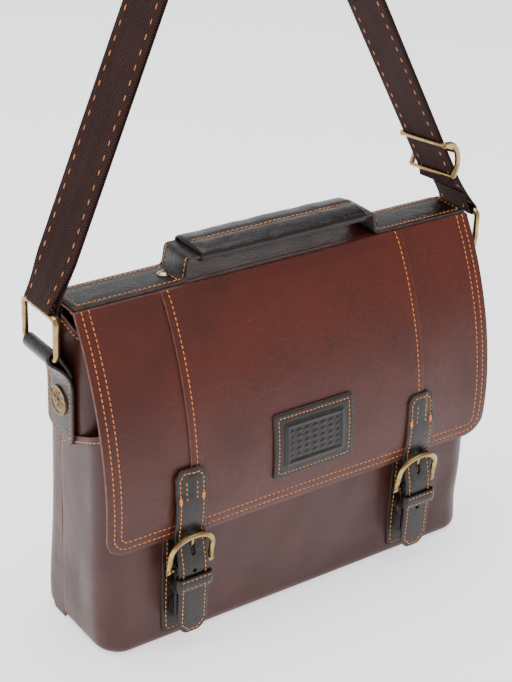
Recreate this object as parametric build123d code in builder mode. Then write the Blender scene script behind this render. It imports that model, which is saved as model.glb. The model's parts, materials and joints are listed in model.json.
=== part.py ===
from build123d import *
import os
from math import asin, cos, radians, sin, sqrt

# ---------------------------------------------------------------------------
# A satchel bag: two-compartment leather body, lapped flap with a carrying
# handle on top, two buckled closures and a shoulder strap on side rings.
# Millimetres. Origin on the floor at the centre of the base, +Z up,
# -Y is the front, +X is the right-hand side seen from the front.
# ---------------------------------------------------------------------------

os.makedirs("parts", exist_ok=True)

# --- body -------------------------------------------------------------------
body_half = 182.0  # half the body's width
base_half_depth = 52.0
corner_radius = 22.0  # upright corners of the body, in plan
leather = 2.4  # body leather
seam_y = 12.0  # side seam between the front and the back panel
front_radius = 1400.0  # the front panel's slight belly, as an arc
front_belly = (-55.2, 95.0)  # its most forward point, (y, z)
pocket_hem_front = 199.0  # height of the pocket's hem at the front
pocket_hem_seam = 171.0  # and where it meets the side seam
back_top = (33.4, 272.4)  # where the back panel turns over into the flap top
board = 2.0  # base board
wall = 1.8  # main front wall's leather
wall_front_low = -36.0
wall_front_high = -24.0
rim_front = 264.0  # mouth rim at the main front wall
rim_back = 272.4  # and at the back panel
lining_gap = 0.4
lining_thickness = 0.8

# --- flap -------------------------------------------------------------------
flap_half = 185.0
flap_leather = 2.2
centre_leather = 2.0
lap_x = 113.0  # edge of the centre panel
lap_width = 10.0
flap_lining = 0.8
flap_corner = 19.0
flap_low = 99.0  # lower edge
fold_top = 281.8  # where the hanging part starts, below the fold
shoulder = (-62.5, 160.0)  # where the flap's two arcs meet, (y, z)
shoulder_angle = 6.1  # slope of the face there
upper_radius = 286.0
lower_radius = 240.0
top_z = 286.5  # outer face of the flap's top

# --- handle -----------------------------------------------------------------
band_y = 1.5  # centre line of band, handle and grip
band_width = 35.0
band_thickness = 2.6
band_half = 183.0
handle_rise = 17.4  # from the band on the flap to the strap in the grip
handle_foot_x = 90.5
handle_top_x = 88.0
handle_bend = 4.0
grip_half = 77.0
grip_width = 40.0
grip_height = 11.5
grip_wall = 1.6
rivet_x = 99.0
rivet_cap = 4.8
rivet_shank = 1.5

# --- badge ------------------------------------------------------------------
badge_width = 77.0
badge_height = 56.0
badge_z = 153.0

# --- closures ---------------------------------------------------------------
closure_x = {"left": -114.5, "right": 109.0}
billet_width = 27.0
billet_thickness = 2.6
billet_top = 160.0
billet_hinge_z = 133.0  # below here the billet hangs free of the flap
billet_tip = 14.0
hole_heights = {"left": 73.0, "right": 54.0}  # the free hole of each billet
hole_radius = 1.8
prong_slot = (91.5, 13.0, 4.2)  # height of its centre, length and width
patch_x = 113.0
patch_width = 40.0
patch_thickness = 1.8
patch_low = 9.0
patch_high = 104.0
chape_low = 32.0
chape_thickness = 3.4  # two plies
chape_half = 13.0
bar_y = -66.5
bar_z = 74.0
bar_radius = 2.0
frame_half = 21.0
frame_reach = 32.0  # from the bar to the outside of the curved end
frame_foot = 2.2  # how far the side limbs pass the bar
frame_limb = 16.0  # length of the straight side limbs
frame_section = 4.4
frame_thickness = 3.2
frame_lean = (0.0, -6.1, 33.0)  # from the bar to the middle of the curved end
prong_width = 3.0
prong_thickness = 2.0
prong_route = ((-65.8, 77.0), (-64.4, 88.5), (-69.4, 94.5), (-70.3, 100.0))  # (y, z)
keeper_low = 57.0
keeper_height = 12.0
keeper_outer = (31.6, 7.9, -72.2)  # width, depth and y of its centre
keeper_inner = (28.4, 4.3, -72.6)
snap_radius = 8.5
snap_z = 46.0
snap_back = 56.9  # the socket starts this far in front of the origin
snap_meeting = 60.9  # the stud starts here
snap_play = 0.4

# --- side tabs, rings and shoulder strap --------------------------------------
side_y = 8.0  # centre line of tabs, rings and webbing
tab_width = 39.0
tab_hinge_z = 232.0
tab_low = 173.0
tab_corner = 186.0  # where its lower corners are cut off
tab_foot_half = 11.0
tab_loop_x = 186.6  # middle of the looped part, just outside the stitched part
medallion_radius = 12.0
medallion_z = 204.0
medallion_thickness = 2.0
ring_x = 198.5
ring_z = 267.0
ring_outer = (52.0, 38.0)
ring_bar = 4.8
webbing_width = 37.0
ply = 1.6
ply_offset = 1.1  # each ply's centre line from the middle of the doubled strap
loop_clearance = 0.4
knee = (173.0, 315.0)  # where the right leg bends towards its ring, (x, z)
strap_apex = (-36.3, 678.5)  # where the two legs' centre lines would meet
apex_radius = 32.0
slider_centre_z = 336.0
slider_half = 20.0
slider_rod = 1.6
slider_arch = 8.0  # how far the side bars bow out to the middle bar


def circle_y(centre, radius, z):
    """y of the forward side of a circle in the YZ plane at height z"""
    return centre[0] - sqrt(radius**2 - (z - centre[1]) ** 2)


# --- the front panel's belly --------------------------------------------------
belly_centre = (front_belly[0] + front_radius, front_belly[1])


def belly_arc(low, high, inset):
    """the body's front line between two heights, moved in by inset"""
    heights = (low, (low + high) / 2, high)
    points = [(circle_y(belly_centre, front_radius - inset, z), z) for z in heights]
    return ThreePointArc(*points)


def upright_block(half_width, radius, low, high_front, high_back, inset, y_back):
    """solid behind the body's front line, with its two front uprights rounded"""
    with BuildPart() as block:
        with BuildSketch(Plane.YZ):
            with BuildLine():
                arc = belly_arc(low, high_front, inset)
                Polyline(arc @ 1, (y_back, high_back), (y_back, low), arc @ 0)
            make_face()
        extrude(amount=half_width, both=True)
        uprights = [
            e
            for e in block.edges()
            if abs(abs(e.center().X) - half_width) < 0.01
            and e.bounding_box().size.Z > 100
            and e.center().Y < y_back - 20
        ]
        fillet(uprights, radius=radius)
    return block.part


def slanted_block(half_width, radius, low, front_low, front_high, rim, back_low, back_high, rims):
    """solid between straight slanting front and back lines, corners rounded where asked"""
    with BuildPart() as block:
        with BuildSketch(Plane.YZ):
            with BuildLine():
                Polyline(
                    (front_low, low),
                    (front_high, rim),
                    (back_high, rims),
                    (back_low, low),
                    close=True,
                )
            make_face()
        extrude(amount=half_width, both=True)
        uprights = [
            e
            for e in block.edges()
            if abs(abs(e.center().X) - half_width) < 0.01
            and e.bounding_box().size.Z > 100
            and abs(e.center().Y - seam_y) > 8
        ]
        fillet(uprights, radius=radius)
    return block.part


# --- base ---------------------------------------------------------------------
with BuildPart() as base_panel:
    with BuildSketch():
        RectangleRounded(2 * body_half, 2 * base_half_depth, corner_radius)
    extrude(amount=leather)
base_panel.part.label = "base_panel"
export_step(base_panel.part, "parts/base_panel.step")

with BuildPart() as base_board:
    with BuildSketch(Plane.XY.offset(leather)):
        RectangleRounded(2 * body_half - 12, 2 * base_half_depth - 12, corner_radius - 4)
    extrude(amount=board)
base_board.part.label = "base_board"
export_step(base_board.part, "parts/base_board.step")

floor_z = leather + board

# --- front pocket panel ----------------------------------------------------------
pocket_outer = upright_block(
    body_half, corner_radius, leather, pocket_hem_front, pocket_hem_seam, 0, seam_y
)
pocket_inner = upright_block(
    body_half - leather,
    corner_radius - leather,
    leather - 1,
    pocket_hem_front + 5,
    pocket_hem_seam + 5,
    leather,
    seam_y + 1,
)
with BuildPart() as front_panel:
    add(pocket_outer)
    add(pocket_inner, mode=Mode.SUBTRACT)
front_panel.part.label = "front_panel"
export_step(front_panel.part, "parts/front_panel.step")

# --- back panel ------------------------------------------------------------------
back_inner_low = base_half_depth - leather
back_inner_high = back_top[0] - leather
rim_slope = (rim_back - rim_front) / (back_top[0] - wall_front_high)
rim_seam = rim_front + rim_slope * (seam_y - wall_front_high)
back_outer = slanted_block(
    body_half,
    corner_radius,
    leather,
    seam_y + 0.2,
    seam_y + 0.2,
    rim_seam,
    base_half_depth,
    back_top[0],
    back_top[1],
)
back_inner = slanted_block(
    body_half - leather,
    corner_radius - leather,
    leather - 1,
    seam_y - 1,
    seam_y - 1,
    rim_seam + 5,
    back_inner_low,
    back_inner_high,
    rim_back + 5,
)
with BuildPart() as back_panel:
    add(back_outer)
    add(back_inner, mode=Mode.SUBTRACT)
back_panel.part.label = "back_panel"
export_step(back_panel.part, "parts/back_panel.step")

# --- main front wall, which carries on above the pocket as the gusset -----------------
wall_half = body_half - leather
wall_outer = slanted_block(
    wall_half,
    corner_radius - 4,
    floor_z,
    wall_front_low,
    wall_front_high,
    rim_front,
    seam_y,
    seam_y,
    rim_seam,
)
wall_inner = slanted_block(
    wall_half - wall,
    corner_radius - 4 - wall,
    floor_z - 1,
    wall_front_low + wall,
    wall_front_high + wall,
    rim_front + 5,
    seam_y + 1,
    seam_y + 1,
    rim_seam + 5,
)
with BuildPart() as main_wall:
    add(wall_outer)
    add(wall_inner, mode=Mode.SUBTRACT)
main_wall.part.label = "main_wall"
export_step(main_wall.part, "parts/main_wall.step")

# --- lining of the main compartment --------------------------------------------------
lining_half = wall_half - wall - lining_gap
lining_front_low = wall_front_low + wall + lining_gap
lining_front_high = wall_front_high + wall + lining_gap
lining_back_low = back_inner_low - lining_gap
lining_back_high = back_inner_high - lining_gap
lining_outer = slanted_block(
    lining_half,
    corner_radius - 2,
    floor_z,
    lining_front_low,
    lining_front_high,
    rim_front - 1,
    lining_back_low,
    lining_back_high,
    rim_back - 1,
)
lining_inner = slanted_block(
    lining_half - lining_thickness,
    corner_radius - 2 - lining_thickness,
    floor_z + lining_thickness,
    lining_front_low + lining_thickness,
    lining_front_high + lining_thickness,
    rim_front + 5,
    lining_back_low - lining_thickness,
    lining_back_high - lining_thickness,
    rim_back + 5,
)
with BuildPart() as lining:
    add(lining_outer)
    add(lining_inner, mode=Mode.SUBTRACT)
lining.part.label = "lining"
export_step(lining.part, "parts/lining.step")

# --- flap: its face is two arcs that share a tangent at the shoulder -------------------
tilt = radians(shoulder_angle)
upper_centre = (
    shoulder[0] + upper_radius * cos(tilt),
    shoulder[1] - upper_radius * sin(tilt),
)
lower_centre = (
    shoulder[0] + lower_radius * cos(tilt),
    shoulder[1] - lower_radius * sin(tilt),
)


def face_point(z, proud):
    """point (y, z') of the flap's face at height z, moved outwards by proud"""
    upper = z >= shoulder[1]
    centre, radius = (upper_centre, upper_radius) if upper else (lower_centre, lower_radius)
    slope = asin((z - centre[1]) / radius)
    reach = radius + proud
    return (centre[0] - reach * cos(slope), centre[1] + reach * sin(slope))


def flap_layer(low, high, inner, outer):
    """closed outline in the YZ plane that follows the flap's face between two heights"""
    with BuildSketch(Plane.YZ) as layer:
        with BuildLine():
            if low < shoulder[1] < high:
                middle = shoulder[1]
                ends = ((low, middle), (middle, high))
            else:
                ends = ((low, high),)
            for a, b in ends:
                for proud in (inner, outer):
                    ThreePointArc(
                        face_point(a, proud),
                        face_point((a + b) / 2, proud),
                        face_point(b, proud),
                    )
            Line(face_point(low, inner), face_point(low, outer))
            Line(face_point(high, inner), face_point(high, outer))
        make_face()
    return layer.sketch


with BuildPart() as flap_centre_panel:
    extrude(flap_layer(flap_low, fold_top, 0, centre_leather), amount=lap_x, both=True)
flap_centre_panel.part.label = "flap_centre_panel"
export_step(flap_centre_panel.part, "parts/flap_centre_panel.step")

side_inner_x = lap_x - lap_width
for side, name in ((-1, "left"), (1, "right")):
    with BuildPart() as flap_side:
        extrude(flap_layer(flap_low, fold_top, -flap_leather, 0), amount=flap_half, both=True)
        with BuildSketch(Plane.XZ) as outline:
            with BuildLine():
                Polyline(
                    (side * side_inner_x, flap_low - 5),
                    (side * side_inner_x, 300),
                    (side * flap_half, 300),
                    (side * flap_half, flap_low + flap_corner),
                )
                RadiusArc(
                    (side * flap_half, flap_low + flap_corner),
                    (side * (flap_half - flap_corner), flap_low),
                    side * flap_corner,
                )
                Polyline(
                    (side * (flap_half - flap_corner), flap_low),
                    (side * (flap_half - flap_corner), flap_low - 5),
                    (side * side_inner_x, flap_low - 5),
                )
            make_face()
        extrude(amount=100, both=True, mode=Mode.INTERSECT)
    flap_side.part.label = f"flap_{name}_panel"
    export_step(flap_side.part, f"parts/flap_{name}_panel.step")

with BuildPart() as flap_stiffener:
    extrude(
        flap_layer(flap_low + 6, fold_top - 6, -flap_leather, 0),
        amount=side_inner_x - 0.2,
        both=True,
    )
flap_stiffener.part.label = "flap_stiffener"
export_step(flap_stiffener.part, "parts/flap_stiffener.step")

with BuildPart() as flap_lining_panel:
    extrude(
        flap_layer(flap_low + 4, fold_top - 2, -flap_leather - flap_lining, -flap_leather),
        amount=flap_half - 4,
        both=True,
    )
flap_lining_panel.part.label = "flap_lining"
export_step(flap_lining_panel.part, "parts/flap_lining.step")

# --- flap top, under the band ---------------------------------------------------------
with BuildPart() as flap_top_panel:
    with BuildSketch(Plane.YZ):
        with BuildLine():
            Line((-15.7, top_z), (20, top_z))
            ThreePointArc((20, top_z), (25.4, 285.2), (29.5, 281.5))
            Line((29.5, 281.5), (27.6, 280.0))
            ThreePointArc((27.6, 280.0), (24.4, 283.0), (20, top_z - leather))
            Polyline((20, top_z - leather), (-15.7, top_z - leather), (-15.7, top_z))
        make_face()
    extrude(amount=flap_half, both=True)
    with BuildSketch(Plane.XY.offset(top_z)):
        with Locations((-rivet_x, band_y), (rivet_x, band_y)):
            Circle(rivet_shank + 0.1)
    extrude(amount=-10, mode=Mode.SUBTRACT)
flap_top_panel.part.label = "flap_top_panel"
export_step(flap_top_panel.part, "parts/flap_top_panel.step")

# --- band and handle: one strap that rises in the middle -------------------------------
band_z = top_z + band_thickness / 2
grip_z = band_z + handle_rise
with BuildPart() as handle_strap:
    with BuildSketch(Plane.XZ.offset(-band_y)):
        with BuildLine():
            FilletPolyline(
                (-band_half, band_z),
                (-handle_foot_x, band_z),
                (-handle_top_x, grip_z),
                (handle_top_x, grip_z),
                (handle_foot_x, band_z),
                (band_half, band_z),
                radius=handle_bend,
            )
        trace(line_width=band_thickness)
    extrude(amount=band_width / 2, both=True)
    with BuildSketch(Plane.XY.offset(top_z + 10)):
        with Locations((-rivet_x, band_y), (rivet_x, band_y)):
            Circle(rivet_shank + 0.1)
    extrude(amount=-12, mode=Mode.SUBTRACT)
handle_strap.part.label = "handle_strap"
export_step(handle_strap.part, "parts/handle_strap.step")

with BuildPart() as handle_grip:
    with BuildSketch(Plane.YZ.offset(-grip_half)):
        with Locations((band_y, grip_z)):
            RectangleRounded(grip_width, grip_height, 5)
            RectangleRounded(
                grip_width - 2 * grip_wall,
                grip_height - 2 * grip_wall,
                5 - grip_wall,
                mode=Mode.SUBTRACT,
            )
    extrude(amount=2 * grip_half)
handle_grip.part.label = "handle_grip"
export_step(handle_grip.part, "parts/handle_grip.step")

pad_height = (grip_height - 2 * grip_wall - band_thickness) / 2 - 0.1
with BuildPart() as grip_padding:
    with BuildSketch(Plane.YZ.offset(-grip_half + 2)):
        pad_offset = (band_thickness + pad_height) / 2
        with Locations((band_y, grip_z - pad_offset), (band_y, grip_z + pad_offset)):
            RectangleRounded(grip_width - 2 * grip_wall - 5, pad_height, 1)
    extrude(amount=2 * grip_half - 4)
grip_padding.part.label = "grip_padding"
export_step(grip_padding.part, "parts/grip_padding.step")

with BuildPart() as handle_rivets:
    with Locations((-rivet_x, band_y), (rivet_x, band_y)):
        with Locations((0, 0, top_z + band_thickness)):
            Cylinder(rivet_cap, 1.8, align=(Align.CENTER, Align.CENTER, Align.MIN))
        with Locations((0, 0, top_z - leather - 1.6)):
            Cylinder(
                rivet_shank,
                1.6 + leather + band_thickness,
                align=(Align.CENTER, Align.CENTER, Align.MIN),
            )
    fillet(handle_rivets.faces().sort_by(Axis.Z)[-2:].edges(), radius=1.2)
handle_rivets.part.label = "handle_rivets"
export_step(handle_rivets.part, "parts/handle_rivets.step")

with BuildPart() as rivet_washers:
    with BuildSketch(Plane.XY.offset(top_z - leather)):
        with Locations((-rivet_x, band_y), (rivet_x, band_y)):
            Circle(rivet_cap)
            Circle(rivet_shank + 0.1, mode=Mode.SUBTRACT)
    extrude(amount=-0.8)
rivet_washers.part.label = "rivet_washers"
export_step(rivet_washers.part, "parts/rivet_washers.step")

# --- badge -----------------------------------------------------------------------------
badge_low = badge_z - badge_height / 2
with BuildPart() as badge:
    extrude(
        flap_layer(badge_low - 5, badge_low + badge_height + 5, centre_leather, centre_leather + 2.2),
        amount=badge_width,
        both=True,
    )
    with BuildSketch(Plane.XZ):
        with Locations((0, badge_z)):
            RectangleRounded(badge_width, badge_height, 3)
    extrude(amount=100, both=True, mode=Mode.INTERSECT)
badge.part.label = "badge"
export_step(badge.part, "parts/badge.step")

with BuildPart() as badge_inlay:
    extrude(
        flap_layer(badge_low, badge_low + badge_height, centre_leather + 2.2, centre_leather + 3.0),
        amount=badge_width,
        both=True,
    )
    with BuildSketch(Plane.XZ):
        with Locations((0, badge_z)):
            RectangleRounded(badge_width - 18, badge_height - 18, 6)
    extrude(amount=100, both=True, mode=Mode.INTERSECT)
badge_inlay.part.label = "badge_inlay"
export_step(badge_inlay.part, "parts/badge_inlay.step")

# --- closures ---------------------------------------------------------------------------
frame_length = sqrt(frame_lean[1] ** 2 + frame_lean[2] ** 2)
frame_normal = (0, -frame_lean[2] / frame_length, frame_lean[1] / frame_length)
plate_back = bar_y + chape_thickness / 2
billet_rise = centre_leather + 0.5 + billet_thickness / 2
billet_route = (
    face_point(130.5, billet_rise),
    face_point(117, billet_rise),
    face_point(104, billet_rise),
    (-69.0, 90),
    (-72.1, 76),
    (-72.3, 63),
    (-72.2, 50),
    (-70.8, billet_tip),
)

for side, name in ((-1, "left"), (1, "right")):
    x = closure_x[name]
    side_plane = Plane.YZ.offset(x)

    # body patch behind the buckle
    with BuildPart() as patch:
        with BuildSketch(Plane.YZ.offset(side * patch_x)):
            with BuildLine():
                inner_arc = belly_arc(patch_low, patch_high, 0)
                outer_arc = belly_arc(patch_low, patch_high, -patch_thickness)
                Line(inner_arc @ 0, outer_arc @ 0)
                Line(inner_arc @ 1, outer_arc @ 1)
            make_face()
        extrude(amount=patch_width / 2, both=True)
    patch.part.label = f"{name}_patch"
    export_step(patch.part, f"parts/{name}_patch.step")

    # snap half on the patch, and its mate on the chape
    with BuildPart() as snap_socket:
        with BuildSketch(Plane.XZ.offset(snap_back)):
            with Locations((x, snap_z)):
                Circle(snap_radius)
        extrude(amount=snap_meeting - snap_play - snap_back)
    snap_socket.part.label = f"{name}_snap_socket"
    export_step(snap_socket.part, f"parts/{name}_snap_socket.step")

    with BuildPart() as snap_stud:
        with BuildSketch(Plane.XZ.offset(snap_meeting)):
            with Locations((x, snap_z)):
                Circle(snap_radius)
        extrude(amount=-plate_back - snap_meeting)
    snap_stud.part.label = f"{name}_snap_stud"
    export_step(snap_stud.part, f"parts/{name}_snap_stud.step")

    # billet: the part stitched to the flap
    with BuildPart() as billet_top_part:
        extrude(
            flap_layer(135.5, billet_top + 2, centre_leather, centre_leather + billet_thickness),
            amount=flap_half,
            both=True,
        )
        with BuildSketch(Plane.XZ):
            with BuildLine():
                Polyline(
                    (x - billet_width / 2, 130),
                    (x + billet_width / 2, 130),
                    (x + billet_width / 2, billet_top - 6),
                    (x + 8, billet_top),
                    (x - 8, billet_top),
                    (x - billet_width / 2, billet_top - 6),
                    close=True,
                )
            make_face()
        extrude(amount=100, both=True, mode=Mode.INTERSECT)
    billet_top_part.part.label = f"{name}_billet_top"
    export_step(billet_top_part.part, f"parts/{name}_billet_top.step")

    # billet: the part that hangs free
    with BuildPart() as billet:
        with BuildSketch(side_plane):
            with BuildLine():
                Spline(*billet_route)
            trace(line_width=billet_thickness)
        extrude(amount=billet_width / 2, both=True)
        with BuildSketch(Plane.XZ):
            with BuildLine():
                Polyline(
                    (x - billet_width / 2, 140),
                    (x + billet_width / 2, 140),
                    (x + billet_width / 2, billet_tip + 8),
                    (x + 5, billet_tip),
                    (x - 5, billet_tip),
                    (x - billet_width / 2, billet_tip + 8),
                    close=True,
                )
            make_face()
        extrude(amount=100, both=True, mode=Mode.INTERSECT)
        with BuildSketch(Plane.XZ):
            with Locations((x, hole_heights[name])):
                Circle(hole_radius)
            with Locations((x, prong_slot[0])):
                SlotOverall(prong_slot[1], prong_slot[2], rotation=90)
        extrude(amount=100, both=True, mode=Mode.SUBTRACT)
    billet.part.label = f"{name}_billet"
    export_step(billet.part, f"parts/{name}_billet.step")

    # chape: doubled leather that holds the bar
    with BuildPart() as chape:
        with BuildSketch(side_plane):
            with Locations((bar_y, (chape_low + bar_z) / 2)):
                Rectangle(chape_thickness, bar_z - chape_low)
            with Locations((bar_y, bar_z)):
                Circle(bar_radius + 2.0)
                Circle(bar_radius + 0.3, mode=Mode.SUBTRACT)
        extrude(amount=chape_half, both=True)
        with BuildSketch(Plane.XZ):
            with Locations((x, bar_z + 1)):
                Rectangle(prong_width + 1.4, 12)
        extrude(amount=100, both=True, mode=Mode.SUBTRACT)
    chape.part.label = f"{name}_chape"
    export_step(chape.part, f"parts/{name}_chape.step")

    # keeper round the billet
    with BuildPart() as keeper:
        with BuildSketch(Plane.XY.offset(keeper_low)):
            with Locations((x, keeper_outer[2])):
                Rectangle(keeper_outer[0], keeper_outer[1])
            with Locations((x, keeper_inner[2])):
                Rectangle(keeper_inner[0], keeper_inner[1], mode=Mode.SUBTRACT)
        extrude(amount=keeper_height)
    keeper.part.label = f"{name}_keeper"
    export_step(keeper.part, f"parts/{name}_keeper.step")

    # buckle frame with its bar
    frame_plane = Plane(origin=(x, bar_y, bar_z), x_dir=(1, 0, 0), z_dir=frame_normal)
    with BuildPart() as buckle_frame:
        with BuildSketch(frame_plane):
            inner_half = frame_half - frame_section
            with BuildLine():
                Polyline(
                    (-frame_half, frame_limb),
                    (-frame_half, -frame_foot),
                    (-inner_half, -frame_foot),
                    (-inner_half, frame_limb - 1),
                )
                ThreePointArc(
                    (-inner_half, frame_limb - 1),
                    (0, frame_reach - frame_section),
                    (inner_half, frame_limb - 1),
                )
                Polyline(
                    (inner_half, frame_limb - 1),
                    (inner_half, -frame_foot),
                    (frame_half, -frame_foot),
                    (frame_half, frame_limb),
                )
                ThreePointArc(
                    (frame_half, frame_limb), (0, frame_reach), (-frame_half, frame_limb)
                )
            make_face()
        extrude(amount=frame_thickness / 2, both=True)
        with BuildSketch(side_plane):
            with Locations((bar_y, bar_z)):
                Circle(bar_radius)
        extrude(amount=frame_half - 1, both=True)
    buckle_frame.part.label = f"{name}_buckle_frame"
    export_step(buckle_frame.part, f"parts/{name}_buckle_frame.step")

    # prong, looped round the bar and through the billet
    with BuildPart() as prong:
        with BuildSketch(side_plane):
            with Locations((bar_y, bar_z)):
                Circle(bar_radius + 1.8)
            with BuildLine():
                FilletPolyline(*prong_route, radius=2)
            trace(line_width=prong_thickness)
            with Locations((bar_y, bar_z)):
                Circle(bar_radius + 0.3, mode=Mode.SUBTRACT)
        extrude(amount=prong_width / 2, both=True)
    prong.part.label = f"{name}_prong"
    export_step(prong.part, f"parts/{name}_prong.step")

# --- side tabs, medallions, loops and rings ------------------------------------------------
lower_bar_z = ring_z - ring_outer[1] / 2 + ring_bar / 2
upper_bar_z = ring_z + ring_outer[1] / 2 - ring_bar / 2
for side, name in ((-1, "left"), (1, "right")):
    # stitched part of the tab
    with BuildPart() as tab:
        with BuildSketch(Plane.YZ.offset(side * body_half)):
            with BuildLine():
                Polyline(
                    (side_y - tab_width / 2, tab_hinge_z - 3),
                    (side_y + tab_width / 2, tab_hinge_z - 3),
                    (side_y + tab_width / 2, tab_corner),
                    (side_y + tab_foot_half, tab_low),
                    (side_y - tab_foot_half, tab_low),
                    (side_y - tab_width / 2, tab_corner),
                    close=True,
                )
            make_face()
        extrude(amount=side * leather)
    tab.part.label = f"{name}_tab"
    export_step(tab.part, f"parts/{name}_tab.step")

    with BuildPart() as medallion:
        with BuildSketch(Plane.YZ.offset(side * (body_half + leather))):
            with Locations((side_y, medallion_z)):
                Circle(medallion_radius)
        extrude(amount=side * medallion_thickness)
    medallion.part.label = f"{name}_medallion"
    export_step(medallion.part, f"parts/{name}_medallion.step")

    # upper part of the tab, looped round the ring's lower bar
    with BuildPart() as tab_loop:
        with BuildSketch(Plane.XZ.offset(-side_y)):
            with BuildLine():
                Polyline(
                    (side * tab_loop_x, tab_hinge_z - 1),
                    (side * tab_loop_x, 238),
                    (side * (ring_x - 2.5), lower_bar_z - 2.5),
                )
            trace(line_width=2.4)
            with Locations((side * ring_x, lower_bar_z)):
                Circle(ring_bar / 2 + loop_clearance + 2.2)
                Circle(ring_bar / 2 + loop_clearance, mode=Mode.SUBTRACT)
        extrude(amount=webbing_width / 2, both=True)
    tab_loop.part.label = f"{name}_tab_loop"
    export_step(tab_loop.part, f"parts/{name}_tab_loop.step")

    with BuildPart() as ring:
        with BuildSketch(Plane.YZ.offset(side * ring_x - ring_bar / 2)):
            with Locations((side_y, ring_z)):
                RectangleRounded(ring_outer[0], ring_outer[1], 7)
                RectangleRounded(
                    ring_outer[0] - 2 * ring_bar,
                    ring_outer[1] - 2 * ring_bar,
                    2.2,
                    mode=Mode.SUBTRACT,
                )
        extrude(amount=ring_bar)
        flat_faces = ring.faces().filter_by(Axis.X)
        fillet(flat_faces.edges(), radius=2.0)
    ring.part.label = f"{name}_ring"
    export_step(ring.part, f"parts/{name}_ring.step")

# --- shoulder strap: two plies, doubled through the left ring ---------------------------------
left_bar = Vector(-ring_x, 0, upper_bar_z)
right_bar = Vector(ring_x, 0, upper_bar_z)
apex = Vector(strap_apex[0], 0, strap_apex[1])
bend = Vector(knee[0], 0, knee[1])
left_way = (apex - left_bar).normalized()
right_way = (bend - apex).normalized()
ring_way = (right_bar - bend).normalized()


def outward(way):
    """unit normal of a direction in the XZ plane, turned away from the strap's inside"""
    return Vector(-way.Z, 0, way.X)


def crossing(p, u, q, v):
    """where two lines in the XZ plane meet"""
    across = u.X * v.Z - u.Z * v.X
    gap = q - p
    return p + u * ((gap.X * v.Z - gap.Z * v.X) / across)


loop_offset = ring_bar / 2 + loop_clearance + ply / 2
left_out = outward(left_way)
right_out = outward(right_way)
ring_out = outward(ring_way)


def flat(point):
    """(x, z) of a point, for a sketch on the XZ plane"""
    return (point.X, point.Z)


outer_apex = crossing(apex + left_out * ply_offset, left_way, apex + right_out * ply_offset, right_way)
inner_apex = crossing(apex - left_out * ply_offset, left_way, apex - right_out * ply_offset, right_way)
outer_ply = (
    left_bar + left_out * loop_offset,
    left_bar + left_out * ply_offset + left_way * 30,
    outer_apex,
    bend + right_out * ply_offset,
    right_bar + ring_out * loop_offset,
)
slider_centre = apex + right_way * ((slider_centre_z - apex.Z) / right_way.Z)
tail_end = slider_centre + right_way * (slider_half + 12) - right_out * ply_offset
inner_ply = (
    left_bar - left_out * loop_offset,
    left_bar - left_out * ply_offset + left_way * 30,
    inner_apex,
    tail_end,
)
with BuildPart() as shoulder_strap:
    with BuildSketch(Plane.XZ.offset(-side_y)):
        with Locations(flat(left_bar), flat(right_bar)):
            Circle(loop_offset + ply / 2)
        with BuildLine():
            FilletPolyline(*[flat(p) for p in outer_ply], radius=[40, apex_radius, 40])
        trace(line_width=ply)
        with BuildLine():
            FilletPolyline(*[flat(p) for p in inner_ply], radius=[40, apex_radius - 2 * ply_offset])
        trace(line_width=ply)
        with BuildLine():
            Line(
                flat(right_bar - ring_out * loop_offset),
                flat(right_bar - ring_out * 0.5 - ring_way * 12),
            )
        trace(line_width=ply)
        with Locations(flat(left_bar), flat(right_bar)):
            Circle(loop_offset - ply / 2, mode=Mode.SUBTRACT)
    extrude(amount=webbing_width / 2, both=True)
shoulder_strap.part.label = "shoulder_strap"
export_step(shoulder_strap.part, "parts/shoulder_strap.step")

# --- slider on the right leg ------------------------------------------------------------------
rod_offset = ply_offset + ply / 2 + 0.4 + slider_rod
slider_plane = Plane(
    origin=(slider_centre.X, side_y, slider_centre.Z),
    x_dir=(-right_way.X, 0, -right_way.Z),
    z_dir=(0, -1, 0),
)
out_sign = 1 if slider_plane.y_dir.dot(right_out) > 0 else -1
side_bar_gap = webbing_width / 2 + 0.8
side_bar_width = 3.6
rod_ends = ((-slider_half + 2, -rod_offset * out_sign), (slider_half - 2, -rod_offset * out_sign))
with BuildPart() as slider_frame:
    for offset in (-side_bar_gap - side_bar_width, side_bar_gap):
        with BuildSketch(slider_plane.offset(offset)):
            with BuildLine():
                ThreePointArc(rod_ends[0], (0, slider_arch * out_sign), rod_ends[1])
            trace(line_width=4.4)
        extrude(amount=side_bar_width)
    with BuildSketch(slider_plane.offset(-side_bar_gap - 1)):
        with Locations(*rod_ends):
            Circle(slider_rod)
    extrude(amount=2 * side_bar_gap + 2)
slider_frame.part.label = "slider_frame"
export_step(slider_frame.part, "parts/slider_frame.step")

with BuildPart() as slider_bar:
    with BuildSketch(slider_plane.offset(-side_bar_gap)):
        with Locations((0, slider_arch * out_sign)):
            Circle(slider_rod)
    extrude(amount=2 * side_bar_gap)
slider_bar.part.label = "slider_bar"
export_step(slider_bar.part, "parts/slider_bar.step")
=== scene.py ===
"""Looks of a leather satchel: flap with lapped centre panel, handle, two buckled closures and a webbing strap.

Lengths in the dataclasses are millimetres, in the CAD model's frame: origin on the floor at the middle of the base,
+Z up, -Y the front, +X the right-hand side. Meshes are written in metres.
"""

import json
import logging
import math
from collections.abc import Callable, Sequence
from dataclasses import dataclass, field
from enum import Enum

import bpy
import numpy as np
from mathutils import Matrix

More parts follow.
